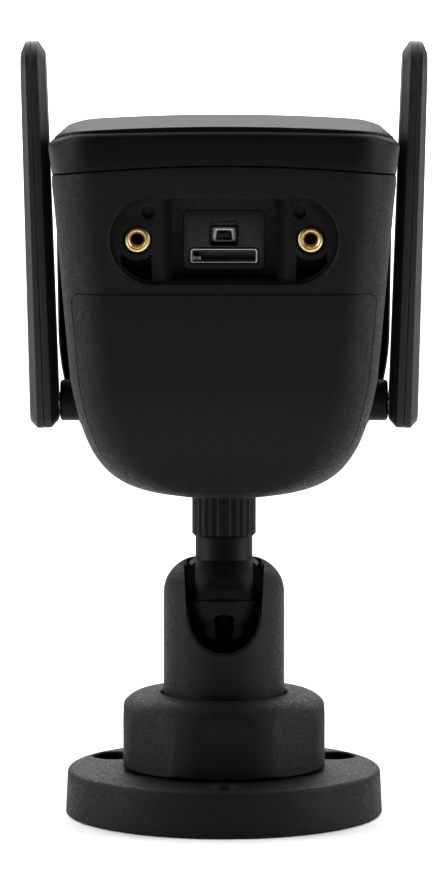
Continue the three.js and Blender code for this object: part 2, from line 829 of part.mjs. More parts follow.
function lensGlass() {
  const sphereRadius = 9;
  const sphere = new THREE.SphereGeometry(sphereRadius, 16, 16);
  sphere.translate(0, barrelFront + 0.6 + sphereRadius, lensHeight);
  return solidFrom(sphere).intersect(rod('y', 6.4, barrelFront - 2, barrelFront + 3.6, [0, lensHeight], 16));
}

function lensHolder() {
  const z0 = lensHeight - 10;
  const z1 = lensHeight + 10;
  return block(-holderHalfWidth, holderHalfWidth, holderFront, holderBack, z0, z1)
    .subtract(block(-holderHalfWidth + 1, holderHalfWidth - 1, filterFront - moveGap,
      filterFront + filterThickness + moveGap, z0 + 2, z1 - 2))
    .subtract(rod('y', 4.6, holderFront - 1, holderBack + 1, [0, lensHeight]));
}

function filterFrame() {
  const x1 = 5.5;
  return block(-holderHalfWidth + 1.4, x1 - 1.9, filterFront, filterFront + filterThickness,
    lensHeight - 7, lensHeight + 7)
    .subtract(rod('y', 3.2, filterFront - 1, filterFront + 3, [-9.8, lensHeight]))
    .subtract(rod('y', 3.2, filterFront - 1, filterFront + 3, [0, lensHeight]));
}

const filterGlass = rod('y', 3.1, filterFront + 0.3, filterFront + 1.1, [0, lensHeight]);

function spotReflector(side) {
  const x = side * spotSpacing / 2;
  const cup = new THREE.CylinderGeometry(2.2, spotRadius - 1, 3.4, fineSegments);
  cup.translate(x, frontBoardFront - 1.6, lensHeight);
  return rod('y', spotRadius - 0.4, plateBack + 0.4, frontBoardFront, [x, lensHeight])
    .subtract(solidFrom(cup))
    .subtract(rod('y', 2.2, plateBack, frontBoardFront + 1, [x, lensHeight]));
}

function spotLens(side) {
  const x = side * spotSpacing / 2;
  return rod('y', spotRadius, plateFront, plateBack, [x, lensHeight]);
}

function spotLamp(side) {
  const x = side * spotSpacing / 2;
  return block(x - 1.4, x + 1.4, frontBoardFront - 0.8, frontBoardFront, lensHeight - 1.4, lensHeight + 1.4);
}

function infraredLamp(side) {
  return rod('y', 2.5, frontBoardFront - 3, frontBoardFront, [side * 12, lensHeight - 16]);
}

const boardHalfWidth = frontWaistHalfWidth - shellWall - 2.2;
const frontBoard = block(-boardHalfWidth, boardHalfWidth, frontBoardFront, frontBoardBack, lensHeight - 19, lensHeight + 20)
  .subtract(rod('y', barrelRadius + 0.4, -80, 0, [0, lensHeight]));

add('front_bezel', frontBezel(), satinPlastic);
add('front_window', frontWindow(), glossPlastic);
add('front_board', frontBoard, greenBoard);
add('lens_barrel', lensBarrel(), satinPlastic);
add('lens_glass', lensGlass(), clearGlass);
add('lens_holder', lensHolder(), innerPlastic);
add('image_sensor', block(-4, 4, holderBack - 0.6, holderBack, lensHeight - 2.2, lensHeight + 2.2), innerPlastic);
add('sensor_board', block(-15, 15, holderBack, holderBack + boardThickness, lensHeight - 14, lensHeight + 13),
  greenBoard);
add('infrared_filter_frame', filterFrame(), innerPlastic);
add('infrared_filter_glass', filterGlass, clearGlass);
for (const [side, word] of [[-1, 'left'], [1, 'right']]) {
  add(`spot_reflector_${word}`, spotReflector(side), aluminium);
  add(`spot_lens_${word}`, spotLens(side), clearPlastic);
  add(`spot_lamp_${word}`, spotLamp(side), lampYellow);
  add(`infrared_lamp_${word}`, infraredLamp(side), clearPlastic);
}
add('light_sensor', rod('y', 1.5, frontBoardFront - 3, frontBoardFront, [7, lensHeight + 15]), clearPlastic);
add('status_light', rod('y', 1.2, frontBoardFront - 3, frontBoardFront, [0, lensHeight - 16]), clearPlastic);
add('microphone', rod('y', 2, frontBoardFront - 1.4, frontBoardFront, [0, lensHeight + 17]), steel);

// ---- antennas ----
// Each blade leans outwards from its root; the pivot pin stays square to the head.
function bladeOutline(inset) {
  return roundedRectangle(-antennaHalfWidth + inset, antennaHalfWidth - inset,
    -antennaBelow + inset, antennaAbove - inset, 5 - inset);
}

const bladeSplit = antennaThickness / 2;
const elementHalfWidth = 3.4;
const elementBottom = 8.5;
const elementTop = 62;

function bladeHollow() {
  return block(bladeSplit - 0.7, bladeSplit + 0.7, -elementHalfWidth - 0.3, elementHalfWidth + 0.3,
    elementBottom - 0.5, elementTop + 0.6);
}

function bladeHalf(outer) {
  const full = prism('x', bladeOutline(0), 0, antennaThickness, {
    bevelThickness: antennaEdge,
    bevelSize: antennaEdge,
    bevelOffset: -antennaEdge,
    bevelSegments: 1,
  });
  if (!outer) {
    return full.intersect(block(-5, bladeSplit - fixedGap, -30, 30, -30, 100)).subtract(bladeHollow());
  }
  const taper = new THREE.Shape();
  taper.moveTo(-bladeSplit, -antennaBelow - 1);
  taper.lineTo(-bladeSplit, antennaAbove + 1);
  taper.lineTo(-antennaTipThickness, antennaAbove + 1);
  taper.lineTo(-antennaThickness, -antennaBelow - 1);
  return full.intersect(prism('y', taper, -30, 30)).subtract(bladeHollow());
}

for (const [side, word] of [[-1, 'left'], [1, 'right']]) {
  const place = new THREE.Group();
  place.position.set(side * antennaInnerFace, antennaPivotY, antennaPivotHeight);
  place.rotation.set(0, side * antennaSplay, side > 0 ? 0 : Math.PI);
  model.add(place);
  const pinHole = rod('x', antennaPinRadius + fixedGap, -5, bladeSplit - 0.4, [0, 0]);
  add(`antenna_inner_${word}`, bladeHalf(false).subtract(pinHole), satinPlastic, place);
  add(`antenna_outer_${word}`, bladeHalf(true), satinPlastic, place);
  const element = block(bladeSplit - 0.4, bladeSplit + 0.4, -elementHalfWidth, elementHalfWidth,
    elementBottom, elementTop);
  add(`antenna_element_${word}`, element, greenBoard, place);
  const inner = 24;
  const outer = antennaInnerFace + bladeSplit - 0.9;
  const pin = rod('x', antennaPinRadius - 0.1, side > 0 ? inner : -outer, side > 0 ? outer : -inner,
    [antennaPivotY, antennaPivotHeight]);
  add(`antenna_pin_${word}`, pin, steel);
  const flank = flankHalfWidth(restHeight);
  const bump = rod('x', restRadius, side > 0 ? flank : -flank - restProud, side > 0 ? flank + restProud : -flank,
    [antennaPivotY, restHeight - 0.6]);
  add(`antenna_rest_${word}`, bump.subtract(rearForm(-fixedGap)), blackRubber);
}

function flankHalfWidth(height) {
  const waistHeight = headBottom + waistRise;
  const rise = (height - waistHeight) / (headTop - cornerDrop - waistHeight);
  return headWaistHalfWidth + (headTopHalfWidth - headWaistHalfWidth) * rise - 0.2;
}

export default model;
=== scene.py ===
# An outdoor bullet camera with two side antennas on a ball-joint wall bracket.
# Everything is in metres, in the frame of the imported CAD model: +Z up, the lens looks along -Y.
import math

import bpy
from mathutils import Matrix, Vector


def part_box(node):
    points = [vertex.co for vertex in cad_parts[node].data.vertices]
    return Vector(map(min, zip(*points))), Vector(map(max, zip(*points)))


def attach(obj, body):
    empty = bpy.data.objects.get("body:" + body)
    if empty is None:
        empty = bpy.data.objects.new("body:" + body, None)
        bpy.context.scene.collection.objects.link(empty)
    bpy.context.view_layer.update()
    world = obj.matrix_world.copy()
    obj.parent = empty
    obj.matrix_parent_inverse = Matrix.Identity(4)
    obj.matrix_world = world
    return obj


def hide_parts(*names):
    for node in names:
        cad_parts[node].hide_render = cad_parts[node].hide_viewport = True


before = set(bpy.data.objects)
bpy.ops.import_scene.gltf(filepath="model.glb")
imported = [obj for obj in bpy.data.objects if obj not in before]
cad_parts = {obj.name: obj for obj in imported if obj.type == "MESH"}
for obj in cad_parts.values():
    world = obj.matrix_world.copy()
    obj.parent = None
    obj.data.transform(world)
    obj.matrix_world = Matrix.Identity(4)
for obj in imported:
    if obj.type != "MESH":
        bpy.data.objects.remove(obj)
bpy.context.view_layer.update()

MM = 0.001


# ---------------------------------------------------------------------------------------------
# Studio: a pale floor, a long soft light at each side and a soft light overhead.
# The camera stands behind the object and a little above it, at the height of a person's eyes.
# ---------------------------------------------------------------------------------------------
def linear(hex_colour):
    """An sRGB hex colour as linear red, green, blue and alpha."""
    channels = [int(hex_colour[i:i + 2], 16) / 255 for i in (1, 3, 5)]
    curve = [c / 12.92 if c <= 0.04045 else ((c + 0.055) / 1.055) ** 2.4 for c in channels]
    return (*curve, 1.0)


def node(tree, kind, settings=None, links=None):
    """Adds a node with its settings and its links. A key is an input's name or number, or a property."""
    made = tree.nodes.new(kind)
    for key, value in (settings or {}).items():
        if isinstance(key, int) or key in made.inputs:
            made.inputs[key].default_value = value
        else:
            setattr(made, key, value)
    for key, output in (links or {}).items():
        tree.links.new(output, made.inputs[key])
    return made


def new_material(name):
    """An empty material and its node tree."""
    material = bpy.data.materials.new(name)
    material.use_nodes = True
    material.node_tree.nodes.clear()
    return material, material.node_tree


def finish_material(material, tree, shader):
    """Joins the shader to the material's output."""
    node(tree, "ShaderNodeOutputMaterial", links={"Surface": shader.outputs["BSDF"]})
    return material


def select_only(piece):
    bpy.ops.object.select_all(action="DESELECT")
    piece.select_set(True)
    bpy.context.view_layer.objects.active = piece


def floor_paint():
    """Matt white studio paint, rolled: a faint orange-peel texture of about 3 mm."""
    material, tree = new_material("matt_white_studio_paint")
    place = node(tree, "ShaderNodeTexCoord")
    peel = node(tree, "ShaderNodeTexNoise", {"Scale": 330.0, "Detail": 2.0},
        {"Vector": place.outputs["Object"]})
    bump = node(tree, "ShaderNodeBump", {"Strength": 0.02, "Distance": 0.0002},
        {"Height": peel.outputs["Fac"]})
    shader = node(tree, "ShaderNodeBsdfPrincipled",
                  {"Base Color": linear("#f4f4f3"), "Roughness": 0.9, "Specular IOR Level": 0.1},
                  {"Normal": bump.outputs["Normal"]})
    return finish_material(material, tree, shader)


FLOOR_SIZE = 60.0
bpy.ops.object.select_all(action="DESELECT")
bpy.ops.mesh.primitive_plane_add(size=FLOOR_SIZE, location=(0, 0, -0.0001))
floor = bpy.context.object
floor.name = "studio_floor"
floor.data.materials.append(floor_paint())


def soft_light(name, place, size, power, target=(0, 0, 0.08)):
    """A rectangular softbox aimed at the object."""
    light = bpy.data.lights.new(name, "AREA")
    light.shape = "RECTANGLE"
    light.size, light.size_y = size
    light.energy = power
    holder = bpy.data.objects.new(name, light)
    bpy.context.scene.collection.objects.link(holder)
    holder.location = place
    holder.rotation_euler = (Vector(target) - Vector(place)).to_track_quat("-Z", "Y").to_euler()
    return holder


soft_light("softbox_left", (1.1, 0.12, 0.35), (0.5, 1.2), 17)
soft_light("softbox_right", (-1.1, 0.12, 0.35), (0.5, 1.2), 17)
soft_light("softbox_top", (0, -0.15, 1.6), (1.6, 1.2), 17)
soft_light("sweep_near", (0, -2.4, 2.6), (7.0, 3.0), 190, (0, -2.4, 0))
soft_light("sweep_far", (0, -6.4, 3.0), (10.0, 5.0), 900, (0, -6.4, 0))
bpy.context.scene.view_settings.view_transform = "Standard"

world = bpy.data.worlds.new("studio_air")
bpy.context.scene.world = world
world.use_nodes = True
world.node_tree.nodes["Background"].inputs["Color"].default_value = linear("#ffffff")
world.node_tree.nodes["Background"].inputs["Strength"].default_value = 0.03

CAMERA_DISTANCE = 1.073
CAMERA_HEIGHT = 0.1892
CAMERA_PITCH = math.radians(6.12)
camera_data = bpy.data.cameras.new("studio_camera")
camera_data.sensor_fit = "HORIZONTAL"
camera_data.sensor_width = 36
camera_data.lens = 439.5
camera = bpy.data.objects.new("studio_camera", camera_data)
bpy.context.scene.collection.objects.link(camera)
camera.location = (0, CAMERA_DISTANCE, CAMERA_HEIGHT)
camera.rotation_euler = (math.pi / 2 - CAMERA_PITCH, 0, math.pi)
bpy.context.scene.camera = camera

# ---------------------------------------------------------------------------------------------
# Base plate: a thick round plate of black ASA with a boss in the middle that carries the socket.
# It is moulded in a spark-eroded tool, and two deep screws and one countersunk one hold it on.
# ---------------------------------------------------------------------------------------------
def box_mm(name):
    """The lowest and highest corner of a CAD node, in millimetres."""
    low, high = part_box(name)
    return low * 1000, high * 1000


def rounded(corners, steps=5):
    """A closed outline from (x, y, radius) corners, with an arc of that radius at each corner."""
    outline = []
    for i, (x, y, radius) in enumerate(corners):
        here = Vector((x, y))
        if radius == 0:
            outline.append((x, y))
            continue
        back = (Vector(corners[i - 1][:2]) - here).normalized()
        on = (Vector(corners[(i + 1) % len(corners)][:2]) - here).normalized()
        half = back.angle(on) / 2
        centre = here + (back + on).normalized() * radius / math.sin(half)
        start = here + back * radius / math.tan(half) - centre
        end = here + on * radius / math.tan(half) - centre
        first = math.atan2(start.y, start.x)
        turn = (math.atan2(end.y, end.x) - first + math.pi) % (2 * math.pi) - math.pi
        for k in range(steps + 1):
            angle = first + turn * k / steps
            outline.append((centre.x + radius * math.cos(angle), centre.y + radius * math.sin(angle)))
    return outline


def turned(name, profile, centre=(0, 0), along="Z", steps=96):
    """A closed outline of (radius, height) spun once round an axis through a centre, all in mm."""
    bpy.ops.object.select_all(action="DESELECT")
    bpy.ops.mesh.primitive_circle_add(vertices=len(profile), radius=MM)
    piece = bpy.context.object
    piece.name = name
    middle, axis = {
        "X": (Vector((0, centre[0], centre[1])), Vector((1, 0, 0))),
        "Y": (Vector((centre[0], 0, centre[1])), Vector((0, 1, 0))),
        "Z": (Vector((centre[0], centre[1], 0)), Vector((0, 0, 1))),
    }[along]
    out = Vector((0, 0, 1)) if along == "X" else Vector((1, 0, 0))
    for vertex, (radius, height) in zip(piece.data.vertices, profile):
        vertex.co = (middle + out * radius + axis * height) * MM
    bpy.ops.object.mode_set(mode="EDIT")
    bpy.ops.mesh.select_all(action="SELECT")
    bpy.ops.mesh.spin(steps=steps, angle=2 * math.pi, center=middle * MM, axis=axis)
    close_up()
    return piece


def close_up():
    """Merges doubles, drops loose edges and points the faces outwards."""
    bpy.ops.mesh.select_all(action="SELECT")
    bpy.ops.mesh.remove_doubles(threshold=2e-7)
    bpy.ops.mesh.dissolve_degenerate(threshold=1e-8)
    bpy.ops.mesh.delete_loose()
    bpy.ops.mesh.select_all(action="SELECT")
    bpy.ops.mesh.normals_make_consistent(inside=False)
    bpy.ops.object.mode_set(mode="OBJECT")


def worked(piece, kind, **settings):
    """Gives the piece a modifier with these settings and applies it."""
    select_only(piece)
    modifier = piece.modifiers.new(kind.lower(), kind)
    for key, value in settings.items():
        setattr(modifier, key, value)
    bpy.ops.object.modifier_apply(modifier=modifier.name)


def cut(piece, *tools, operation="DIFFERENCE"):
    """Cuts the tools out of the piece, or joins or keeps them by another operation."""
    for tool in tools:
        worked(piece, "BOOLEAN", object=tool, operation=operation, solver="MANIFOLD")
        bpy.data.objects.remove(tool)


def finished(piece, material, body, slot, *nodes, angle=32):
    """Smooths the piece, paints it, and puts it on its body in place of its CAD nodes."""
    select_only(piece)
    bpy.ops.object.shade_smooth_by_angle(angle=math.radians(angle))
    piece.data.materials.clear()
    piece.data.materials.append(material)
    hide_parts(*nodes)
    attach(piece, body)
    return piece


def spark_eroded_asa():
    """Black ASA moulded in a spark-eroded tool: a matt grain of about 0.3 mm pits and tiny bright facets."""
    material, tree = new_material("spark_eroded_black_asa")
    place = node(tree, "ShaderNodeTexCoord").outputs["Object"]
    grain = node(tree, "ShaderNodeTexNoise", {"Scale": 3600.0, "Detail": 3.0, "Roughness": 0.65},
        {"Vector": place})
    pits = node(tree, "ShaderNodeTexVoronoi", {"Scale": 3200.0, "Randomness": 1.0}, {"Vector": place})
    cloud = node(tree, "ShaderNodeTexNoise", {"Scale": 160.0, "Detail": 2.0}, {"Vector": place})
    glint = node(tree, "ShaderNodeValToRGB", links={"Fac": pits.outputs["Color"]})
    glint.color_ramp.elements[0].position, glint.color_ramp.elements[0].color = 0.10, (0.42, 0.42, 0.42, 1)
    glint.color_ramp.elements[1].position, glint.color_ramp.elements[1].color = 0.45, (0.66, 0.66, 0.66, 1)
    tone = node(tree, "ShaderNodeValToRGB", links={"Fac": grain.outputs["Fac"]})
    tone.color_ramp.elements[0].position, tone.color_ramp.elements[0].color = 0.36, linear("#060606")
    tone.color_ramp.elements[1].position, tone.color_ramp.elements[1].color = 0.66, linear("#0f0f0e")
    height = node(tree, "ShaderNodeMath", {"operation": "ADD"},
        {0: grain.outputs["Fac"], 1: pits.outputs["Distance"]})
    soft = node(tree, "ShaderNodeBump", {"Strength": 0.08, "Distance": 0.0006},
        {"Height": cloud.outputs["Fac"]})
    bump = node(tree, "ShaderNodeBump", {"Strength": 0.38, "Distance": 0.0001},
                {"Height": height.outputs["Value"], "Normal": soft.outputs["Normal"]})
    shader = node(tree, "ShaderNodeBsdfPrincipled", {"IOR": 1.51, "Specular IOR Level": 0.12},
                  {"Base Color": tone.outputs["Color"], "Roughness": glint.outputs["Color"],
                   "Normal": bump.outputs["Normal"]})
    return finish_material(material, tree, shader)


grained = spark_eroded_asa()
base_high = box_mm("base_plate")[1]
PLATE_HEIGHT = 9.1
PLATE_RADIUS = base_high.x
BOSS_RADIUS = 14.35
SOCKET_BORE = 12.25
SCREW_CIRCLE = 25

base_plate = turned("base_plate_moulding", rounded([
    (0, 0, 0), (PLATE_RADIUS, 0, 0.4), (PLATE_RADIUS - 0.4, PLATE_HEIGHT, 1.1),
    (BOSS_RADIUS + 0.4, PLATE_HEIGHT, 0.3),
    (BOSS_RADIUS, base_high.z, 0.4), (SOCKET_BORE, base_high.z, 0.4), (SOCKET_BORE, 4, 0.3), (0, 4, 0)]),
    steps=160)
for i in range(3):
    turn = math.pi / 2 + i * math.tau / 3
    place = (SCREW_CIRCLE * math.cos(turn), SCREW_CIRCLE * math.sin(turn))
    if i == 0:
        shape = [(0, -1), (2.1, -1), (2.1, PLATE_HEIGHT - 2), (3.15, PLATE_HEIGHT - 0.2),
            (3.4, PLATE_HEIGHT + 0.02),
                 (3.4, PLATE_HEIGHT + 3), (0, PLATE_HEIGHT + 3)]
    else:
        shape = [(0, -1), (2.1, -1), (2.1, PLATE_HEIGHT - 3.2), (4.6, PLATE_HEIGHT - 3.2),
            (4.7, PLATE_HEIGHT - 0.3),
                 (5.0, PLATE_HEIGHT + 0.02), (5.0, PLATE_HEIGHT + 3), (0, PLATE_HEIGHT + 3)]
    cut(base_plate, turned("screw_hole_tool", shape, place, steps=48))
finished(base_plate, grained, "wall_base", "grained_housing", "base_plate")


# ---------------------------------------------------------------------------------------------
# Nut washer: a plain moulded ring of unfilled acetal that the nut bears on as it turns.
# It lies inside the nut, so it keeps the plain shape of its solid.
# ---------------------------------------------------------------------------------------------
def moulded_acetal():
    """Dark acetal from a polished tool that has lost its shine: an even low gloss with a faint 1 mm flow."""
    material, tree = new_material("moulded_dark_acetal")
    place = node(tree, "ShaderNodeTexCoord").outputs["Object"]
    flow = node(tree, "ShaderNodeTexNoise", {"Scale": 900.0, "Detail": 2.0}, {"Vector": place})
    bump = node(tree, "ShaderNodeBump", {"Strength": 0.12, "Distance": 0.00005},
        {"Height": flow.outputs["Fac"]})
    tone = node(tree, "ShaderNodeValToRGB", links={"Fac": flow.outputs["Fac"]})
    tone.color_ramp.elements[0].position, tone.color_ramp.elements[0].color = 0.3, linear("#090909")
    tone.color_ramp.elements[1].position, tone.color_ramp.elements[1].color = 0.7, linear("#111111")
    shader = node(tree, "ShaderNodeBsdfPrincipled", {"Roughness": 0.5, "IOR": 1.48,
        "Specular IOR Level": 0.3},
                  {"Base Color": tone.outputs["Color"], "Normal": bump.outputs["Normal"]})
    return finish_material(material, tree, shader)


def painted(material, *names):
    """Paints CAD nodes that keep their own shape."""
    for name in names:
        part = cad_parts[name]
        part.data.materials.clear()
        part.data.materials.append(material)


acetal = moulded_acetal()
painted(acetal, "nut_washer")


# ---------------------------------------------------------------------------------------------
# Lock nut: an eight-sided knob of black ASA, turned by hand to clamp the socket to the base.
# Its flats run out in a rounded shoulder, and its corners are worn to soft ridges.
# ---------------------------------------------------------------------------------------------
def wrapped(name, rings, closed=False, capped=False):
    """Faces laid over rings of points in mm. Closed rings meet at their ends, and caps fill the end rings."""
    across = len(rings[0]) + (1 if closed else 0)
    bpy.ops.object.select_all(action="DESELECT")
    bpy.ops.mesh.primitive_grid_add(x_subdivisions=across - 1, y_subdivisions=len(rings) - 1, size=MM)
    piece = bpy.context.object
    piece.name = name
    points = [point for ring in rings for point in (ring + ring[:1] if closed else ring)]
    for vertex, point in zip(piece.data.vertices, points):
        vertex.co = Vector(point) * MM
    bpy.ops.object.mode_set(mode="EDIT")
    bpy.ops.mesh.select_all(action="SELECT")
    bpy.ops.mesh.remove_doubles(threshold=2e-7)
    if capped:
        bpy.ops.mesh.select_mode(type="EDGE")
        bpy.ops.mesh.select_all(action="DESELECT")
        bpy.ops.mesh.select_non_manifold()
        bpy.ops.mesh.edge_face_add()
        bpy.ops.mesh.select_mode(type="VERT")
    close_up()
    return piece


def soft_least(a, b, blend):
    """The lesser of two lengths, run smoothly together where they are within the blend of each other."""
    near = max(blend - abs(a - b), 0) / blend
    return min(a, b) - near * near * blend / 4


nut_low, nut_high = box_mm("lock_nut")
NUT_FLAT = nut_high.y
NUT_ROUND = 20.9
NUT_OPENING = 12.4
NUT_BORE = 14.75
NUT_SIDES = 8
NUT_STEPS = 160

nut_profile = rounded([
    (NUT_ROUND - 0.1, nut_low.z, 0.7), (NUT_ROUND, nut_high.z, 5.2), (NUT_OPENING, nut_high.z, 0.6),
    (NUT_OPENING, nut_high.z - 3.6, 0.2), (NUT_BORE, nut_high.z - 3.6, 0), (NUT_BORE, nut_low.z, 0.3)],
    steps=9)
nut_rings = []
for radius, height in nut_profile:
    ring = []
    for k in range(NUT_STEPS):
        angle = math.tau * k / NUT_STEPS
        local = (angle + math.pi / NUT_SIDES) % (math.tau / NUT_SIDES) - math.pi / NUT_SIDES
        reach = radius
        if radius > NUT_BORE + 0.35:
            reach = min(radius, soft_least(NUT_ROUND, NUT_FLAT / math.cos(local), 0.12))
        ring.append((reach * math.cos(angle), reach * math.sin(angle), height))
    nut_rings.append(ring)
lock_nut = wrapped("lock_nut_moulding", nut_rings + nut_rings[:1], closed=True)
finished(lock_nut, grained, "lock_nut", "grained_housing", "lock_nut", angle=40)


# ---------------------------------------------------------------------------------------------
# Socket: a domed tube of black ASA with a slot down its back, so that the stem can drop to level.
# The slot has a fine chamfer all round, and the dome is left open at the top for the stem.
# ---------------------------------------------------------------------------------------------
tube_low, tube_high = box_mm("socket_tube")
BALL_RADIUS = 9.75
BALL_HEIGHT = 43
TUBE_RADIUS = 11.95
TUBE_BORE = 10.05
DOME_RADIUS = 7
DOME_OPENING = 7.2
FLANGE_BOTTOM = 15.3
FLANGE_TOP = 18.3
FLANGE_RADIUS = 14.2


def bow(cx, cy, radius, first, last, steps):
    """Points along an arc, in degrees, from the first angle to the last."""
    angles = [math.radians(first + (last - first) * k / steps) for k in range(steps + 1)]
    return [(cx + radius * math.cos(a), cy + radius * math.sin(a)) for a in angles]


dome_start = math.degrees(math.acos((DOME_OPENING + 0.35 - TUBE_RADIUS + DOME_RADIUS) / DOME_RADIUS))
seat_start = math.degrees(math.acos((DOME_OPENING + 0.1) / (TUBE_BORE + 0.02)))
socket_tube = turned("socket_tube_moulding", [
    (TUBE_BORE, tube_low.z + 0.4), (TUBE_BORE + 0.4, tube_low.z), (TUBE_RADIUS - 0.4, tube_low.z),
    (TUBE_RADIUS, tube_low.z + 0.4), (TUBE_RADIUS, FLANGE_BOTTOM), (FLANGE_RADIUS - 0.2, FLANGE_BOTTOM),
    (FLANGE_RADIUS, FLANGE_BOTTOM + 0.2), (FLANGE_RADIUS, FLANGE_TOP - 0.2),
    (FLANGE_RADIUS - 0.2, FLANGE_TOP),
    (TUBE_RADIUS, FLANGE_TOP),
    *bow(TUBE_RADIUS - DOME_RADIUS, tube_high.z - DOME_RADIUS, DOME_RADIUS, 0, dome_start, 14),
    (DOME_OPENING, tube_high.z - 0.85),
    *bow(0, BALL_HEIGHT, TUBE_BORE + 0.02, seat_start, 0, 10)], steps=144)

SLOT_TOP = 7.4
SLOT_END = 6.8
SLOT_END_HEIGHT = 39.9
SLOT_CHAMFER = 0.45
slot_outline = [(SLOT_TOP, 54), (SLOT_TOP - 0.05, 50), *bow(0, SLOT_END_HEIGHT, SLOT_END, 0, -180, 28),
                (0.05 - SLOT_TOP, 50), (-SLOT_TOP, 54)]


def tube_skin(x, z):
    """How far back the tube's outer skin lies at this place across and up it."""
    radius = TUBE_RADIUS
    rise = z - (tube_high.z - DOME_RADIUS)
    if rise > 0:
        radius += math.sqrt(max(DOME_RADIUS ** 2 - rise ** 2, 0)) - DOME_RADIUS
    return max(math.sqrt(max(radius ** 2 - x ** 2, 0)), 3)


def grown(outline, by):
    """A closed outline moved outwards all round by a distance."""
    turns = sum(a[0] * b[1] - b[0] * a[1] for a, b in zip(outline, outline[1:] + outline[:1]))
    by = -by if turns > 0 else by
    moved = []
    for i, (x, y) in enumerate(outline):
        back, on = Vector(outline[i - 1]), Vector(outline[(i + 1) % len(outline)])
        here = Vector((x, y))
        first, second = (here - back).normalized(), (on - here).normalized()
        normal = Vector((-first.y - second.y, first.x + second.x)).normalized()
        stretch = 1 / max(0.5, normal.dot(Vector((-first.y, first.x))))
        moved.append((x + normal.x * by * stretch, y + normal.y * by * stretch))
    return moved


slot_wide = grown(slot_outline, SLOT_CHAMFER + 0.1)
slot_tool = wrapped("slot_tool", [
    [(x, 2, z) for x, z in slot_outline],
    [(x, tube_skin(x, z) - SLOT_CHAMFER, z) for x, z in slot_outline],
    [(wx, tube_skin(wx, wz) + 0.1, wz) for wx, wz in slot_wide],
    [(wx, 20, wz) for wx, wz in slot_wide]], closed=True, capped=True)
cut(socket_tube, slot_tool)
finished(socket_tube, grained, "socket", "grained_housing", "socket_tube")


# ---------------------------------------------------------------------------------------------
# Ball joint: two moulded halves of black ABS that meet at the equator and turn in the socket.
# The upper half has a flat back with a raised mark and carries the neck, and the lower half has an
# arched outlet in its back for the cable. The acetal cup under them is relieved behind that outlet.
# ---------------------------------------------------------------------------------------------
def satin_abs(name, dark, light, sheen):
    """ABS from a fine-stoned tool: a satin skin with a faint 0.5 mm orange peel."""
    material, tree = new_material(name)
    place = node(tree, "ShaderNodeTexCoord").outputs["Object"]
    peel = node(tree, "ShaderNodeTexNoise", {"Scale": 2000.0, "Detail": 2.0}, {"Vector": place})
    wear = node(tree, "ShaderNodeTexNoise", {"Scale": 120.0, "Detail": 3.0}, {"Vector": place})
    gloss = node(tree, "ShaderNodeMapRange", {"To Min": 0.44, "To Max": 0.56}, {"Value": wear.outputs["Fac"]})
    tone = node(tree, "ShaderNodeValToRGB", links={"Fac": peel.outputs["Fac"]})
    tone.color_ramp.elements[0].position, tone.color_ramp.elements[0].color = 0.3, linear(dark)
    tone.color_ramp.elements[1].position, tone.color_ramp.elements[1].color = 0.7, linear(light)
    bump = node(tree, "ShaderNodeBump", {"Strength": 0.18, "Distance": 0.00004},
        {"Height": peel.outputs["Fac"]})
    shader = node(tree, "ShaderNodeBsdfPrincipled", {"IOR": 1.53, "Specular IOR Level": sheen},
                  {"Base Color": tone.outputs["Color"], "Roughness": gloss.outputs["Result"],
                   "Normal": bump.outputs["Normal"]})
    return finish_material(material, tree, shader)


def prism(name, outline, along, low, high):
    """An outline in mm, filled and extruded along an axis from one place to another."""
    at = {"X": lambda a, b: (low, a, b), "Y": lambda a, b: (a, low, b), "Z": lambda a, b: (a, b, low)}[along]
    bpy.ops.object.select_all(action="DESELECT")
    bpy.ops.mesh.primitive_circle_add(vertices=len(outline), radius=MM, fill_type="NGON")
    piece = bpy.context.object
    piece.name = name
    for vertex, (a, b) in zip(piece.data.vertices, outline):
        vertex.co = Vector(at(a, b)) * MM
    step = (high - low) * MM
    move = {"X": (step, 0, 0), "Y": (0, step, 0), "Z": (0, 0, step)}[along]
    bpy.ops.object.mode_set(mode="EDIT")
    bpy.ops.mesh.select_all(action="SELECT")
    bpy.ops.mesh.extrude_region_move(TRANSFORM_OT_translate={"value": move})
    close_up()
    return piece


def oblong(x0, x1, y0, y1, radius=0.0):
    """The corners of a rectangle with rounded corners."""
    outline = [(x0, y0, radius), (x1, y0, radius), (x1, y1, radius), (x0, y1, radius)]
    return rounded(outline) if radius else [corner[:2] for corner in outline]


# Painted shade: this copy of the satin ABS has darker tones and a weaker specular level than the antennas'
# copy, so the hood, sun shield, ball, collar and bezel read as dark as parts in shade.
satin = satin_abs("satin_abs_painted_darker_as_shade", "#020202", "#060606", 0.08)
stem_high = box_mm("ball_stem")[1]
NECK_RADIUS = 5.65
SEAM_HEIGHT = 43.4
FLAT_BACK = 8.5
join = math.degrees(math.acos((NECK_RADIUS + 0.6) / BALL_RADIUS))
equator = math.degrees(math.asin((SEAM_HEIGHT - BALL_HEIGHT) / BALL_RADIUS))
ball_stem = turned("ball_stem_moulding", [
    (2.6, SEAM_HEIGHT), (BALL_RADIUS - 0.2, SEAM_HEIGHT),
    *bow(0, BALL_HEIGHT, BALL_RADIUS, equator + 1, join, 16),
    (NECK_RADIUS + 0.2, BALL_HEIGHT + 7.75), (NECK_RADIUS, BALL_HEIGHT + 8.3), (NECK_RADIUS, stem_high.z),
    (2.6, stem_high.z)], steps=112)
cut(ball_stem, prism("flat_back_tool", oblong(-12, 12, 40, 48.4), "Y", FLAT_BACK, 14))
for side in (1, -1):
    cut(ball_stem, prism("side_relief_tool", oblong(NECK_RADIUS, 14, SEAM_HEIGHT - 1, 53) if side > 0
                         else oblong(-14, -NECK_RADIUS, SEAM_HEIGHT - 1, 53), "Y", 3, 14))
mark = turned("mark_blank", [(0, 40), (BALL_RADIUS, 40),
    *bow(0, BALL_HEIGHT, BALL_RADIUS - 0.45, 0, 60, 10), (0, 52)])
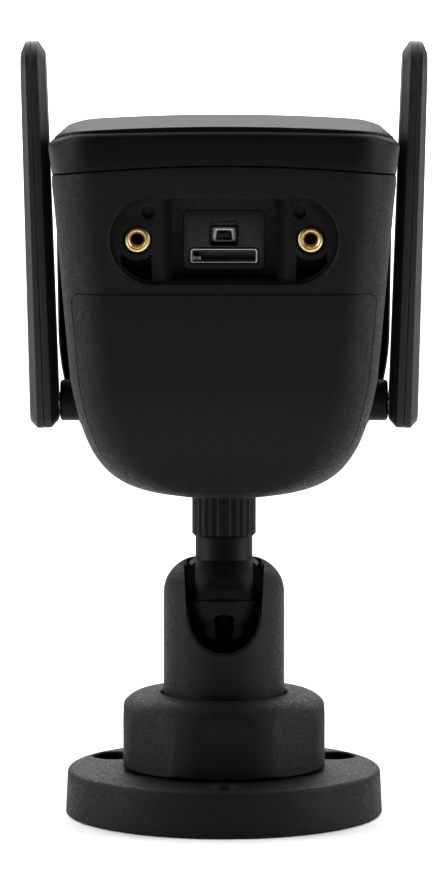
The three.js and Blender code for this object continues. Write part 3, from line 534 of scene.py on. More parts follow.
cut(mark, prism("mark_tool", [(-2.6, 45.5), (2.6, 45.5), (2.6, 46.1), (0.32, 46.1), (0.32, 48.6),
    (-0.32, 48.6),
                              (-0.32, 46.1), (-2.6, 46.1)], "Y", 7.6, 12), operation="INTERSECT")
cut(ball_stem, mark, operation="UNION")
finished(ball_stem, satin, "arm", "satin_housing", "ball_stem")

ball_cap = turned("ball_cap_moulding", [
    (2.6, BALL_HEIGHT - 9.2), *bow(0, BALL_HEIGHT, BALL_RADIUS, -74, equator - 1, 22),
    (BALL_RADIUS - 0.25, SEAM_HEIGHT),
    (2.6, SEAM_HEIGHT)], steps=112)
OUTLET_HALF = 3.65
outlet = [(-OUTLET_HALF, 34.4), (OUTLET_HALF, 34.4), *bow(0, 36.95, OUTLET_HALF, 0, 180, 20)]
outlet_wide = [(-OUTLET_HALF - 0.2, 34.2), (OUTLET_HALF + 0.2, 34.2),
    *bow(0, 36.95, OUTLET_HALF + 0.3, 0, 180, 20)]
cut(ball_cap, wrapped("outlet_tool", [
    [(x, 5.6, z) for x, z in outlet], [(x, 8.5, z) for x, z in outlet],
    [(x, 12, z) for x, z in outlet_wide]], closed=True, capped=True),
    prism("outlet_slot_tool", rounded([(-1.5, 33, 0), (1.5, 33, 0), (2, 40.4, 1.2), (-2, 40.4, 1.2)]),
    "Y", 1, 9))
finished(ball_cap, satin, "arm", "satin_housing", "ball_cap")

seat_low, seat_high = box_mm("ball_seat")
SEAT_CUP = BALL_RADIUS + 0.2
rim = math.degrees(math.asin((seat_high.z - BALL_HEIGHT) / SEAT_CUP))
ball_seat = turned("ball_seat_moulding", [
    (0, seat_low.z), (seat_high.x - 0.3, seat_low.z), (seat_high.x, seat_low.z + 0.3),
    (seat_high.x, seat_high.z),
    *bow(0, BALL_HEIGHT, SEAT_CUP, rim, -90, 10)])
cut(ball_seat, prism("seat_relief_tool", rounded([(-7, 33, 3), (7, 33, 3), (7, 40, 0), (-7, 40, 0)]), "Y",
    3, 14))
finished(ball_seat, acetal, "wall_base", "inner_plastic", "ball_seat")


# ---------------------------------------------------------------------------------------------
# Collar: the satin ABS bush that the neck turns in, with fine upright facets for the fingers.
# A steel ring inside the head holds it.
# ---------------------------------------------------------------------------------------------
def rolled_steel():
    """Tinned cold-rolled steel: a grey metal with fine rolling lines about 0.2 mm apart."""
    material, tree = new_material("tinned_rolled_steel")
    place = node(tree, "ShaderNodeTexCoord").outputs["Object"]
    drawn = node(tree, "ShaderNodeMapping", {"Scale": (0.06, 1.0, 1.0)}, {"Vector": place})
    lines = node(tree, "ShaderNodeTexNoise", {"Scale": 4500.0, "Detail": 2.0},
        {"Vector": drawn.outputs["Vector"]})
    gloss = node(tree, "ShaderNodeMapRange", {"To Min": 0.26, "To Max": 0.44},
        {"Value": lines.outputs["Fac"]})
    bump = node(tree, "ShaderNodeBump", {"Strength": 0.12, "Distance": 0.00003},
        {"Height": lines.outputs["Fac"]})
    shader = node(tree, "ShaderNodeBsdfPrincipled", {"Base Color": linear("#a3a4a4"), "Metallic": 1.0},
                  {"Roughness": gloss.outputs["Result"], "Normal": bump.outputs["Normal"]})
    return finish_material(material, tree, shader)


steel = rolled_steel()
collar_low, collar_high = box_mm("stem_collar")
COLLAR_RADIUS = collar_high.y
COLLAR_FACETS = 24
collar_rings = []
for radius, height in [(NECK_RADIUS + 0.25, collar_high.z), (NECK_RADIUS + 0.25, collar_low.z + 0.2),
                       (NECK_RADIUS + 0.4, collar_low.z), (COLLAR_RADIUS - 0.45, collar_low.z),
                       (COLLAR_RADIUS - 0.02, collar_low.z + 0.5), (COLLAR_RADIUS - 0.02, collar_high.z)]:
    ring = []
    for k in range(COLLAR_FACETS * 4):
        angle = math.tau * (k + 0.5) / (COLLAR_FACETS * 4)
        local = (angle + math.pi / COLLAR_FACETS) % (math.tau / COLLAR_FACETS) - math.pi / COLLAR_FACETS
        dip = 0.16 * math.cos(local * COLLAR_FACETS) if radius > NECK_RADIUS + 0.45 else 0
        ring.append(((radius - 0.16 - dip) * math.cos(angle), (radius - 0.16 - dip) * math.sin(angle),
            height))
    collar_rings.append(ring)
stem_collar = wrapped("stem_collar_moulding", collar_rings + collar_rings[:1], closed=True)
finished(stem_collar, satin, "head", "satin_housing", "stem_collar", angle=20)
painted(steel, "collar_ring")


# ---------------------------------------------------------------------------------------------
# Rear housing: a deep shell of grained black ASA with a softly arched top edge and a drawn-in tail.
# A slot-ended opening in its back shows the service tray, and a boss on each side carries an antenna.
# ---------------------------------------------------------------------------------------------
shell_low, shell_high = box_mm("rear_shell")
hood_low = box_mm("top_hood")[0]
HEAD_REAR = shell_high.y
HEAD_BOTTOM = shell_low.z
HEAD_TOP = 136.9
HEAD_EDGE = 134
SEAM = 130.3
SPLIT = -12
TOP_HALF = 33.6
WAIST_HALF = 29.6
WAIST_HEIGHT = HEAD_BOTTOM + 25
CORNER_WIDTH = 9
CORNER_DEPTH = 12
TAIL_RADIUS = 25
SEAM_ARCH = 290
ROOF_SLOPE = math.tan(math.radians(1.4))
WALL = 3
COLLAR_GAP = 0.12


def roof(x, y, height, radius=SEAM_ARCH):
    """The height of an arched roof that falls towards the front."""
    return height + math.sqrt(radius ** 2 - x ** 2) - radius - (HEAD_REAR - y) * ROOF_SLOPE


def swept(p0, p1, p2, p3, steps):
    """Points along a cubic curve."""
    points = []
    for k in range(steps + 1):
        t = k / steps
        weights = ((1 - t) ** 3, 3 * t * (1 - t) ** 2, 3 * t * t * (1 - t), t ** 3)
        points.append(tuple(sum(w * p[i] for w, p in zip(weights, (p0, p1, p2, p3))) for i in (0, 1)))
    return points


def rear_half(z):
    """Half the rear housing's width above its waist."""
    return WAIST_HALF + (TOP_HALF - WAIST_HALF) * (z - WAIST_HEIGHT) / (HEAD_EDGE - WAIST_HEIGHT)


def tail(z):
    """How far back the housing reaches at this height."""
    drop = min(max(WAIST_HEIGHT - z, 0), TAIL_RADIUS)
    return HEAD_REAR - TAIL_RADIUS + math.sqrt(TAIL_RADIUS ** 2 - drop ** 2)


def plan(half, back, front, inset=0.0):
    """The housing seen from above at one level: along one side, round the back and along the other."""
    half, back = half - inset, back - inset
    width = min(CORNER_WIDTH, half * 0.7)
    depth = min(CORNER_DEPTH, (back - front) * 0.6)
    side = [(half, front + (back - depth - front) * k / 8) for k in range(8)]
    side += [(half - width * (1 - math.cos(math.radians(a))), back - depth * (1 - math.sin(math.radians(a))))
             for a in range(0, 91, 6)]
    side += [((half - width) * (1 - k / 10), back) for k in range(1, 10)]
    return side + [(0.0, back)] + [(-x, y) for x, y in reversed(side)]


rear_lower = swept((WAIST_HALF - 18.6, HEAD_BOTTOM + 0.9), (WAIST_HALF - 6.4, HEAD_BOTTOM + 2.2),
                   (WAIST_HALF - 2.6, HEAD_BOTTOM + 10), (WAIST_HALF, WAIST_HEIGHT), 22)


def rear_rings(top_gap, front=SPLIT + 0.3):
    """Rings round the rear housing from its underside to its top edge."""
    rings = []
    flat_half, flat_height = rear_lower[0]
    for k in range(5):
        share = k / 5
        reach = front + (tail(flat_height) - front) * share
        rings.append([(x, y, HEAD_BOTTOM + 0.9 * share) for x, y in plan(flat_half * share, reach, front)])
    rings += [[(x, y, z) for x, y in plan(half, tail(z), front)] for half, z in rear_lower]
    rings += [[(x, y, z) for x, y in plan(rear_half(z), HEAD_REAR, front)] for z in (94, 100, 106, 112,
        118, 122)]
    for inset, drop in ((0, 2), (0, 0.4), (0.1, 0.12), (0.35, 0)):
        rings.append([(x, y, roof(x, y, SEAM - top_gap - drop)) for x,
            y in plan(rear_half(127), HEAD_REAR, front, inset)])
    return rings


def stadium(half_length, radius, z, steps=20):
    """A slot with round ends, drawn anticlockwise."""
    middle = half_length - radius
    return [*bow(middle, z, radius, -90, 90, steps), *bow(-middle, z, radius, 90, 270, steps)]


BAY_HEIGHT = 116.2
BAY_RADIUS = 8.4
BAY_HALF = 21.75
COVER_TOP = 105.9
COVER_INSET = 1.9
COVER_PROUD = 0.18
COVER_GAP = 0.13


def cover_outline(inset):
    """The lower rear cover seen from behind."""
    lower = [(x, z, 0) for x, z in rear_lower]
    top = COVER_TOP + COVER_INSET
    corners = lower + [(rear_half(top), top, 3.6), (-rear_half(top), top, 3.6)] + [(-x, z, 0) for x, z,
        r in reversed(lower)]
    return grown(rounded(corners, 8), -COVER_INSET - inset)


def cover_blank(name, outer, inner, inset):
    """A skin of the rear housing from one depth to another, trimmed to the cover's outline."""
    blank = wrapped(name, rear_rings(0.05))
    worked(blank, "SOLIDIFY", thickness=(outer + inner) * MM, offset=2 * outer / (outer + inner) - 1,
        use_even_offset=True)
    cut(blank, prism("cover_trim", cover_outline(inset), "Y", 18 + inset, 44), operation="INTERSECT")
    return blank


rear_shell = wrapped("rear_housing_moulding", rear_rings(0.05))
worked(rear_shell, "SOLIDIFY", thickness=WALL * MM, offset=-1, use_even_offset=True)
bay = stadium(BAY_HALF, BAY_RADIUS, BAY_HEIGHT)
bay_wide = stadium(BAY_HALF + 0.4, BAY_RADIUS + 0.4, BAY_HEIGHT)
cut(rear_shell, wrapped("bay_tool", [[(x, 30, z) for x, z in bay], [(x, HEAD_REAR - 0.3, z) for x, z in bay],
                                     [(x, HEAD_REAR + 0.1, z) for x, z in bay_wide],
                                     [(x, 42, z) for x, z in bay_wide]], closed=True, capped=True))
cut(rear_shell, cover_blank("cover_pocket_tool", 1.0, 1.15, -COVER_GAP))
for side in (1, -1):
    boss_low, boss_high = 26 * side, 32.1 * side
    cut(rear_shell, turned("antenna_boss", [(0, boss_low), (4, boss_low), (4, boss_high - 0.4 * side),
                                            (3.6, boss_high), (0, boss_high)], (5, 82.6), "X", 48),
                                            operation="UNION")
cut(rear_shell, turned("collar_hole_tool", [
    (0, 50), (COLLAR_RADIUS + 0.55, 50), (COLLAR_RADIUS + 0.55, HEAD_BOTTOM - 0.2),
    (COLLAR_RADIUS + COLLAR_GAP, HEAD_BOTTOM + 0.35), (COLLAR_RADIUS + COLLAR_GAP, 75), (0, 75)], steps=72))
finished(rear_shell, grained, "head", "grained_housing", "rear_shell", angle=28)


# ---------------------------------------------------------------------------------------------
# Lower rear cover: a thin grained ASA panel that clips over the tail below the service bay.
# It stands a little proud of the housing, and its rounded top corners run out down the sides.
# ---------------------------------------------------------------------------------------------
rear_cover = cover_blank("lower_rear_cover_moulding", COVER_PROUD, 1.0, 0)
worked(rear_cover, "BEVEL", width=0.16 * MM, segments=3, limit_method="ANGLE", angle_limit=math.radians(50),
       use_clamp_overlap=False)
finished(rear_cover, grained, "head", "grained_housing", "lower_rear_cover", angle=28)


# ---------------------------------------------------------------------------------------------
# Service tray: the moulded ASA floor of the service bay, screwed in from inside the housing.
# It has a sloped well for the card slot and reset switch, bosses for the cover's screws, a drain
# pocket under each boss and two shallow ejector marks.
# ---------------------------------------------------------------------------------------------
tray_low, tray_high = box_mm("service_tray")
panel_low, panel_high = box_mm("service_panel")
TRAY_FACE = tray_high.y
WELL_FLOOR = 31
INSERT_X = 16.5
MARK_X, MARK_Z = 14.5, 121.5
MARK_RADIUS = 1.15
BOSS = 3.9

service_tray = prism("service_tray_moulding", stadium(BAY_HALF + 1.6, BAY_RADIUS + 1.6, BAY_HEIGHT, 24),
    "Y", tray_low.y, TRAY_FACE)
well_top = oblong(-12.1, 12.1, BAY_HEIGHT - 7.9, BAY_HEIGHT + 7.9, 1.3)
well_foot = oblong(-10, 10, BAY_HEIGHT - 7.2, BAY_HEIGHT + 7.6, 1.1)
cut(service_tray,
    wrapped("well_tool", [[(x, WELL_FLOOR, z) for x, z in well_foot],
    [(x, TRAY_FACE, z) for x, z in well_top],
                          [(x, TRAY_FACE + 2, z) for x, z in well_top]], closed=True, capped=True),
    prism("panel_hole_tool", oblong(panel_low.x - 0.06, panel_high.x + 0.06, panel_low.z - 0.06,
    panel_high.z + 0.06, 1.05), "Y", 25, 36))
for side in (1, -1):
    rim = math.degrees(math.acos((19.7 - 13.35) / 7.7))
    pocket = [(13.8, 113.4), *bow(INSERT_X, BAY_HEIGHT, BOSS, -133, -38, 12),
        *bow(13.35, BAY_HEIGHT, 7.7, -rim, -87, 12)]
    cut(service_tray,
        prism("pocket_tool", [(x * side, z) for x, z in pocket], "Y", WELL_FLOOR - 0.5, 38),
        turned("insert_hole_tool", [(0, 28), (2.62, 28), (2.62, TRAY_FACE - 0.25), (2.95, TRAY_FACE + 0.05),
                                    (2.95, 38), (0, 38)], (INSERT_X * side, BAY_HEIGHT), "Y", 48),
        turned("mark_hole_tool", [(0, TRAY_FACE - 1), (MARK_RADIUS - 0.1, TRAY_FACE - 1),
        (MARK_RADIUS, TRAY_FACE - 0.2),
                                  (MARK_RADIUS + 0.2, TRAY_FACE + 0.05), (MARK_RADIUS + 0.2, 38), (0, 38)],
               (MARK_X * side, MARK_Z), "Y", 40))
worked(service_tray, "BEVEL", width=0.16 * MM, segments=2, limit_method="ANGLE", angle_limit=math.radians(48),
       use_clamp_overlap=False)
finished(service_tray, grained, "head", "grained_housing", "service_tray", angle=28)


# ---------------------------------------------------------------------------------------------
# Thread inserts: turned brass bushes pressed into the tray for the service cover's two screws.
# The face has a raised ring round a chamfered thread.
# ---------------------------------------------------------------------------------------------
def turned_brass():
    """Brass from the lathe: a yellow metal with fine turning rings 0.15 mm apart on its face."""
    material, tree = new_material("turned_brass")
    place = node(tree, "ShaderNodeTexCoord").outputs["Object"]
    either = node(tree, "ShaderNodeVectorMath", {"operation": "ABSOLUTE"}, {0: place})
    centred = node(tree, "ShaderNodeMapping", {"Location": (-INSERT_X * MM, 0, -BAY_HEIGHT * MM)},
                   {"Vector": either.outputs["Vector"]})
    rings = node(tree, "ShaderNodeTexWave", {"wave_type": "RINGS", "rings_direction": "Y", "Scale": 1050.0,
                                             "Distortion": 0.4}, {"Vector": centred.outputs["Vector"]})
    stain = node(tree, "ShaderNodeTexNoise", {"Scale": 500.0, "Detail": 3.0}, {"Vector": place})
    tone = node(tree, "ShaderNodeValToRGB", links={"Fac": stain.outputs["Fac"]})
    tone.color_ramp.elements[0].position, tone.color_ramp.elements[0].color = 0.35, linear("#cbab6a")
    tone.color_ramp.elements[1].position, tone.color_ramp.elements[1].color = 0.7, linear("#efddb0")
    bump = node(tree, "ShaderNodeBump", {"Strength": 0.2, "Distance": 0.00003},
        {"Height": rings.outputs["Fac"]})
    shader = node(tree, "ShaderNodeBsdfPrincipled", {"Metallic": 1.0, "Roughness": 0.32},
                  {"Base Color": tone.outputs["Color"], "Normal": bump.outputs["Normal"]})
    return finish_material(material, tree, shader)


brass = turned_brass()
insert_low, insert_high = box_mm("thread_insert_right")
THREAD_PITCH = 0.5
thread = []
for k in range(9):
    thread += [(1.42, insert_low.y + 0.1 + k * THREAD_PITCH), (1.2, insert_low.y + 0.35 + k * THREAD_PITCH)]
insert_face = insert_high.y
insert_profile = [(2.4, insert_low.y), (2.4, insert_face - 0.45), (2.25, insert_face - 0.3),
    (2.2, insert_face - 0.05),
                  (2.1, insert_face), (1.86, insert_face), (1.8, insert_face - 0.14),
                  (1.66, insert_face - 0.16),
                  (1.6, insert_face - 0.05), (1.5, insert_face - 0.12), (1.3, insert_face - 0.4)]
for side, word in ((1, "right"), (-1, "left")):
    centre = ((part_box(f"thread_insert_{word}")[0].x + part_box(f"thread_insert_{word}")[1].x) / 2 / MM,
        BAY_HEIGHT)
    bush = turned(f"thread_bush_{word}", insert_profile + thread[::-1], centre, "Y", 56)
    finished(bush, brass, "head", "brass_inserts", f"thread_insert_{word}", angle=28)


# ---------------------------------------------------------------------------------------------
# Service panel: a small plate of dark acetal in the well, with a chamfered window over the reset
# switch and a close opening for the card slot.
# ---------------------------------------------------------------------------------------------
WINDOW = (-2.47, 2.47, 115.1, 119.2)
SOCKET = (-6.4, 6.4, 111.5, 114.3)
service_panel = prism("service_panel_plate", oblong(panel_low.x, panel_high.x, panel_low.z, panel_high.z,
    1.0), "Y",
                      panel_low.y, panel_high.y)
window = oblong(*WINDOW, 0.35)
window_wide = oblong(WINDOW[0] - 0.4, WINDOW[1] + 0.4, WINDOW[2] - 0.4, WINDOW[3] + 0.4, 0.6)
cut(service_panel,
    wrapped("window_tool", [[(x, 26, z) for x, z in window], [(x, panel_high.y - 0.35, z) for x, z in window],
                            [(x, panel_high.y + 0.05, z) for x, z in window_wide],
                            [(x, 34, z) for x, z in window_wide]], closed=True, capped=True),
    prism("socket_opening_tool", oblong(SOCKET[0] - 0.12, SOCKET[1] + 0.12, SOCKET[2] - 0.12,
    SOCKET[3] + 0.12, 0.5), "Y", 26, 34))
worked(service_panel, "BEVEL", width=0.12 * MM, segments=2, limit_method="ANGLE",
    angle_limit=math.radians(50),
       use_clamp_overlap=False)
finished(service_panel, acetal, "head", "inner_plastic", "service_panel", angle=28)


# ---------------------------------------------------------------------------------------------
# Card socket: a folded frame of tinned steel round a narrow slot, soldered to the service board.
# Its front edge is rounded over, and a small latch shows at one end of the slot.
# ---------------------------------------------------------------------------------------------
socket_low, socket_high = box_mm("card_socket")
slot_middle = (SOCKET[2] + SOCKET[3]) / 2
card_frame = prism("card_slot_frame", oblong(*SOCKET, 0.45), "Y", socket_low.y, socket_high.y)
slot_mouth = oblong(-6.12, 6.12, slot_middle - 1.12, slot_middle + 1.12, 0.35)
slot_throat = oblong(-5.9, 5.9, slot_middle - 0.95, slot_middle + 0.95, 0.25)
cut(card_frame, wrapped("card_slot_tool", [
    [(x, socket_low.y - 1, z) for x, z in slot_throat],
    [(x, socket_high.y - 0.35, z) for x, z in slot_throat],
    [(x, socket_high.y + 0.1, z) for x, z in slot_mouth], [(x, 34, z) for x, z in slot_mouth]],
    closed=True, capped=True))
cut(card_frame, prism("card_latch", oblong(4.4, 6.1, slot_middle - 1.1, slot_middle - 0.1, 0.15), "Y",
                      socket_high.y - 1.6, socket_high.y - 0.5), operation="UNION")
worked(card_frame, "BEVEL", width=0.14 * MM, segments=2, limit_method="ANGLE", angle_limit=math.radians(50),
       use_clamp_overlap=False)
finished(card_frame, steel, "head", "steel_parts", "card_socket", angle=28)


# ---------------------------------------------------------------------------------------------
# Reset switch: a tinned steel can with a sloped frame round a small rounded push button.
# The button is dark acetal and travels a quarter of a millimetre.
# ---------------------------------------------------------------------------------------------
switch_low, switch_high = box_mm("reset_switch")
button_low, button_high = box_mm("reset_button")
switch_can = prism("reset_switch_can", oblong(WINDOW[0] + 0.05, WINDOW[1] - 0.05, WINDOW[2] + 0.05,
    switch_high.z, 0.3), "Y",
                   switch_low.y, switch_high.y)
frame_mouth = rounded([(button_low.x - 0.5, button_low.z - 0.42, 0.2),
    (button_high.x + 0.5, button_low.z - 0.42, 0.2),
                       (button_high.x + 0.3, button_high.z + 0.42, 0.3),
                       (button_low.x - 0.3, button_high.z + 0.42, 0.3)])
frame_throat = rounded([(button_low.x - 0.14, button_low.z - 0.14, 0.1),
    (button_high.x + 0.14, button_low.z - 0.14, 0.1),
                        (button_high.x + 0.14, button_high.z + 0.14, 0.15),
                        (button_low.x - 0.14, button_high.z + 0.14, 0.15)])
cut(switch_can, wrapped("button_well_tool", [
    [(x, button_low.y - 0.3, z) for x, z in frame_throat],
    [(x, switch_high.y - 0.4, z) for x, z in frame_throat],
    [(x, switch_high.y + 0.05, z) for x, z in frame_mouth], [(x, 30, z) for x, z in frame_mouth]],
    closed=True, capped=True))
worked(switch_can, "BEVEL", width=0.08 * MM, segments=2, limit_method="ANGLE", angle_limit=math.radians(50),
       use_clamp_overlap=False)
finished(switch_can, steel, "head", "steel_parts", "reset_switch", angle=28)

push_button = prism("reset_push_button", rounded([
    (button_low.x, button_low.z, 0.25), (button_high.x, button_low.z, 0.25),
    (button_high.x, button_high.z, 0.45),
    (button_low.x, button_high.z, 0.45)]), "Y", button_low.y, button_high.y)
worked(push_button, "BEVEL", width=0.12 * MM, segments=3, limit_method="ANGLE", angle_limit=math.radians(50))
finished(push_button, acetal, "reset_button", "inner_plastic", "reset_button")


# ---------------------------------------------------------------------------------------------
# Front housing: the deeper half of the head's shell, moulded in the same grained black ASA.
# It is a little wider than the rear half, and seven small holes under it let the speaker be heard.
# ---------------------------------------------------------------------------------------------
front_low, front_high = box_mm("front_shell")
FRONT_WAIST = 33.0
FRONT_WAIST_HEIGHT = HEAD_BOTTOM + 30
SPEAKER_Y = -35

front_side = [(0.0, HEAD_BOTTOM), *swept(
    (FRONT_WAIST - 19.7, HEAD_BOTTOM + 1.8), (FRONT_WAIST - 6.6, HEAD_BOTTOM + 3),
    (FRONT_WAIST - 0.6, HEAD_BOTTOM + 15),
    (FRONT_WAIST, FRONT_WAIST_HEIGHT), 22)]


def front_half(z):
    """Half the front housing's width above its waist."""
    return FRONT_WAIST + (TOP_HALF - FRONT_WAIST) * (z - FRONT_WAIST_HEIGHT) / (HEAD_EDGE - FRONT_WAIST_HEIGHT)


def front_path(inset=0.0):
    """The front housing seen along its length, from the seam on one side, under it and up to the other."""
    top = roof(TOP_HALF, SPLIT, SEAM)
    half = front_side + [(front_half(z), z) for z in (104, 114, 122, top + 2)]
    closed = grown(half + [(-x, z) for x, z in reversed(half[1:])], -inset)
    right = closed[:len(half)]
    return [(-x, z) for x, z in reversed(right[1:])] + [(0.0, HEAD_BOTTOM + inset)] + right[1:]


def front_ring(y, inset):
    """One ring of the front housing, with its ends on the arched seam."""
    ring = []
    for x, z in front_path(inset):
        ring.append((x, y, min(z, roof(x, y, SEAM - 0.05))))
    return ring


front_shell = wrapped("front_housing_moulding", [front_ring(y, inset) for y, inset in (
    (front_high.y, 0.35), (front_high.y - 0.12, 0.1), (front_high.y - 0.4, 0), (-20, 0), (-28, 0),
    (-36, 0), (-44, 0),
    (-52, 0), (front_low.y + 0.4, 0), (front_low.y + 0.12, 0.1), (front_low.y, 0.35))])
worked(front_shell, "SOLIDIFY", thickness=WALL * MM, offset=-1, use_even_offset=True)
for i in range(7):
    reach = 0 if i == 6 else 3.6
    hole = (reach * math.cos(i * math.pi / 3), SPEAKER_Y + reach * math.sin(i * math.pi / 3))
    cut(front_shell, turned("speaker_hole_tool", [(0, 60), (1.1, 60), (1.1, 63.95), (0.8, 64.3),
        (0.8, 72), (0, 72)],
                            hole, "Z", 20))
finished(front_shell, grained, "head", "grained_housing", "front_shell", angle=28)


# ---------------------------------------------------------------------------------------------
# Top hood: one long satin ABS lid over both halves, with an arched roof and a soft edge all round.
# It laps the shells along a fine arched seam, and its roof has a shallow seat for the sun shield.
# ---------------------------------------------------------------------------------------------
HOOD_FRONT = hood_low.y
HOOD_WALL = 2.5
SHIELD_HALF = 32.4
SHIELD_CORNER = 9
SHIELD_MIDDLE = -20
ROOF_ARCH = 800
SHIELD_FRONT = HOOD_FRONT + 0.6
SHIELD_REAR = 36.8


def hood_plan(height, inset=0.0):
    """The hood seen from above: the rear half's rounded tail run into the wider front half."""
    ring = []
    rear = min(rear_half(height), TOP_HALF + 0.15)
    front = min(front_half(height), TOP_HALF + 0.15)
    for x, y in plan(rear, HEAD_REAR, SPLIT, inset):
        ring.append((x, y))
    widths = []
    for k in range(1, 13):
        y = SPLIT - (SPLIT - HOOD_FRONT - 2) * k / 12
        blend = min(1, k / 6)
        widths.append((rear + (front - rear) * blend * blend * (3 - 2 * blend) - inset, y))
    widths += [(front - inset - 2 * (1 - math.cos(math.radians(a))),
        HOOD_FRONT + inset + 2 - 2 * math.sin(math.radians(a)))
               for a in range(15, 91, 15)]
    left = [(-x, y) for x, y in widths]
    across = [(-(front - inset - 2) + 2 * (front - inset - 2) * k / 14,
        HOOD_FRONT + inset) for k in range(1, 14)]
    return ring + left + across + [(-x, y) for x, y in reversed(left)]


SHOULDER_START = 27
SHOULDER_WIDTH = 6.6
SHOULDER_DROP = 1.4


def crown(x, y, height, radius):
    """The outer roof: an arch whose last few millimetres each side fall away in a soft shoulder."""
    past_start = max(abs(x) - SHOULDER_START, 0)
    return roof(x, y, height, radius) - SHOULDER_DROP * (past_start / SHOULDER_WIDTH) ** 2


hood_rings = []
for inset, lift in ((0.25, 0), (0.05, 0.12), (0, 0.4), (0, 2.2)):
    hood_rings.append([(x, y, roof(x, y, SEAM + 0.1 + lift)) for x, y in hood_plan(127.5 + lift, inset)])
EDGE = 1.3
for angle in range(0, 91, 15):
    inset, drop = EDGE * (1 - math.cos(math.radians(angle))), EDGE * (1 - math.sin(math.radians(angle)))
    hood_rings.append([(x, y, crown(x, y, HEAD_TOP - drop, ROOF_ARCH)) for x, y in hood_plan(134.3, inset)])
for thickness, inset, shares in ((0, EDGE, (0.93, 0.84, 0.7, 0.5, 0.3, 0.12, 0.0)),
                                 (HOOD_WALL, HOOD_WALL, (0.0, 0.12, 0.3, 0.5, 0.7, 0.84, 0.93, 1.0))):
    for share in shares:
        ring = []
        for x, y in hood_plan(134.3, inset):
            x, y = x * share, -13 + (y + 13) * share
            surface = roof if thickness else crown
            ring.append((x, y, surface(x, y, HEAD_TOP - thickness, ROOF_ARCH)))
        hood_rings.append(ring)
hood_rings.append([(x, y, roof(x, y, SEAM + 0.1)) for x, y in hood_plan(127.5, HOOD_WALL)])
top_hood = wrapped("top_hood_moulding", hood_rings + hood_rings[:1], closed=True)


def shield_plan(inset):
    """The sun shield seen from above."""
    return oblong(-SHIELD_HALF + inset, SHIELD_HALF - inset, SHIELD_FRONT + inset, SHIELD_REAR - inset,
        SHIELD_CORNER - inset)


def spread(outline, longest=4.0):
    """An outline with points added so that none are further apart than a length."""
    filled = []
    for (x0, y0), (x1, y1) in zip(outline, outline[1:] + outline[:1]):
        pieces = max(1, round(math.dist((x0, y0), (x1, y1)) / longest))
        filled += [(x0 + (x1 - x0) * k / pieces, y0 + (y1 - y0) * k / pieces) for k in range(pieces)]
    return filled


seat = spread(shield_plan(-0.15))
cut(top_hood, wrapped("shield_seat_tool", [
    [(0.0, SHIELD_MIDDLE, roof(0, SHIELD_MIDDLE, HEAD_TOP - 1.2, ROOF_ARCH)) for _ in seat],
    [(x * 0.5, (y + SHIELD_MIDDLE) * 0.5, roof(x * 0.5, (y + SHIELD_MIDDLE) * 0.5, HEAD_TOP - 1.2,
    ROOF_ARCH)) for x, y in seat],
    [(x, y, roof(x, y, HEAD_TOP - 1.2, ROOF_ARCH)) for x, y in seat],
    [(x, y, HEAD_TOP + 5) for x, y in seat]], closed=True, capped=True))
finished(top_hood, satin, "head", "satin_housing", "top_hood", angle=28)


# ---------------------------------------------------------------------------------------------
# Sun shield: a wide tongue of satin ABS set in the hood's roof, more sharply arched than the roof.
# Its middle stands proud, so its back end shows as a thin dark crescent.
# ---------------------------------------------------------------------------------------------
SHIELD_ARCH = 440
SHIELD_PROUD = 0.95


def shield_ring(inset, drop, share=1.0):
    ring = []
    for x, y in spread(shield_plan(inset)):
        x, y = x * share, -13 + (y + 13) * share
        ring.append((x, y, crown(x, y, HEAD_TOP + SHIELD_PROUD - drop, SHIELD_ARCH)))
    return ring


def shield_foot(share):
    ring = []
    for x, y in spread(shield_plan(0)):
        x, y = x * share, -13 + (y + 13) * share
        ring.append((x, y, roof(x, y, HEAD_TOP - 1.15, ROOF_ARCH)))
    return ring


top_shield = wrapped("sun_shield_moulding", [
    shield_foot(0.0), shield_foot(0.5), shield_foot(1.0), shield_ring(0, 0.3), shield_ring(0.09, 0.09),
    shield_ring(0.3, 0), shield_ring(0.3, 0, 0.9), shield_ring(0.3, 0, 0.75), shield_ring(0.3, 0, 0.5),
    shield_ring(0.3, 0, 0.25), shield_ring(0.3, 0, 0.0)], closed=True)
finished(top_shield, satin, "head", "satin_housing", "top_shield", angle=28)


# ---------------------------------------------------------------------------------------------
# Seal and electronics: a moulded silicone ring between the shells, dark green glass-epoxy boards, a
# tinned steel shield and an aluminium heat spreader. They keep the plain shape of their solids.
# ---------------------------------------------------------------------------------------------
def silicone():
    """Black silicone rubber: dull, with a faint dusty bloom about 1 mm across."""
    material, tree = new_material("moulded_silicone_rubber")
    place = node(tree, "ShaderNodeTexCoord").outputs["Object"]
    bloom = node(tree, "ShaderNodeTexNoise", {"Scale": 1000.0, "Detail": 3.0}, {"Vector": place})
    tone = node(tree, "ShaderNodeValToRGB", links={"Fac": bloom.outputs["Fac"]})
    tone.color_ramp.elements[0].position, tone.color_ramp.elements[0].color = 0.3, linear("#0b0b0b")
    tone.color_ramp.elements[1].position, tone.color_ramp.elements[1].color = 0.75, linear("#191918")
    bump = node(tree, "ShaderNodeBump", {"Strength": 0.15, "Distance": 0.00004},
        {"Height": bloom.outputs["Fac"]})
    shader = node(tree, "ShaderNodeBsdfPrincipled", {"Roughness": 0.82, "IOR": 1.42},
                  {"Base Color": tone.outputs["Color"], "Normal": bump.outputs["Normal"]})
    return finish_material(material, tree, shader)


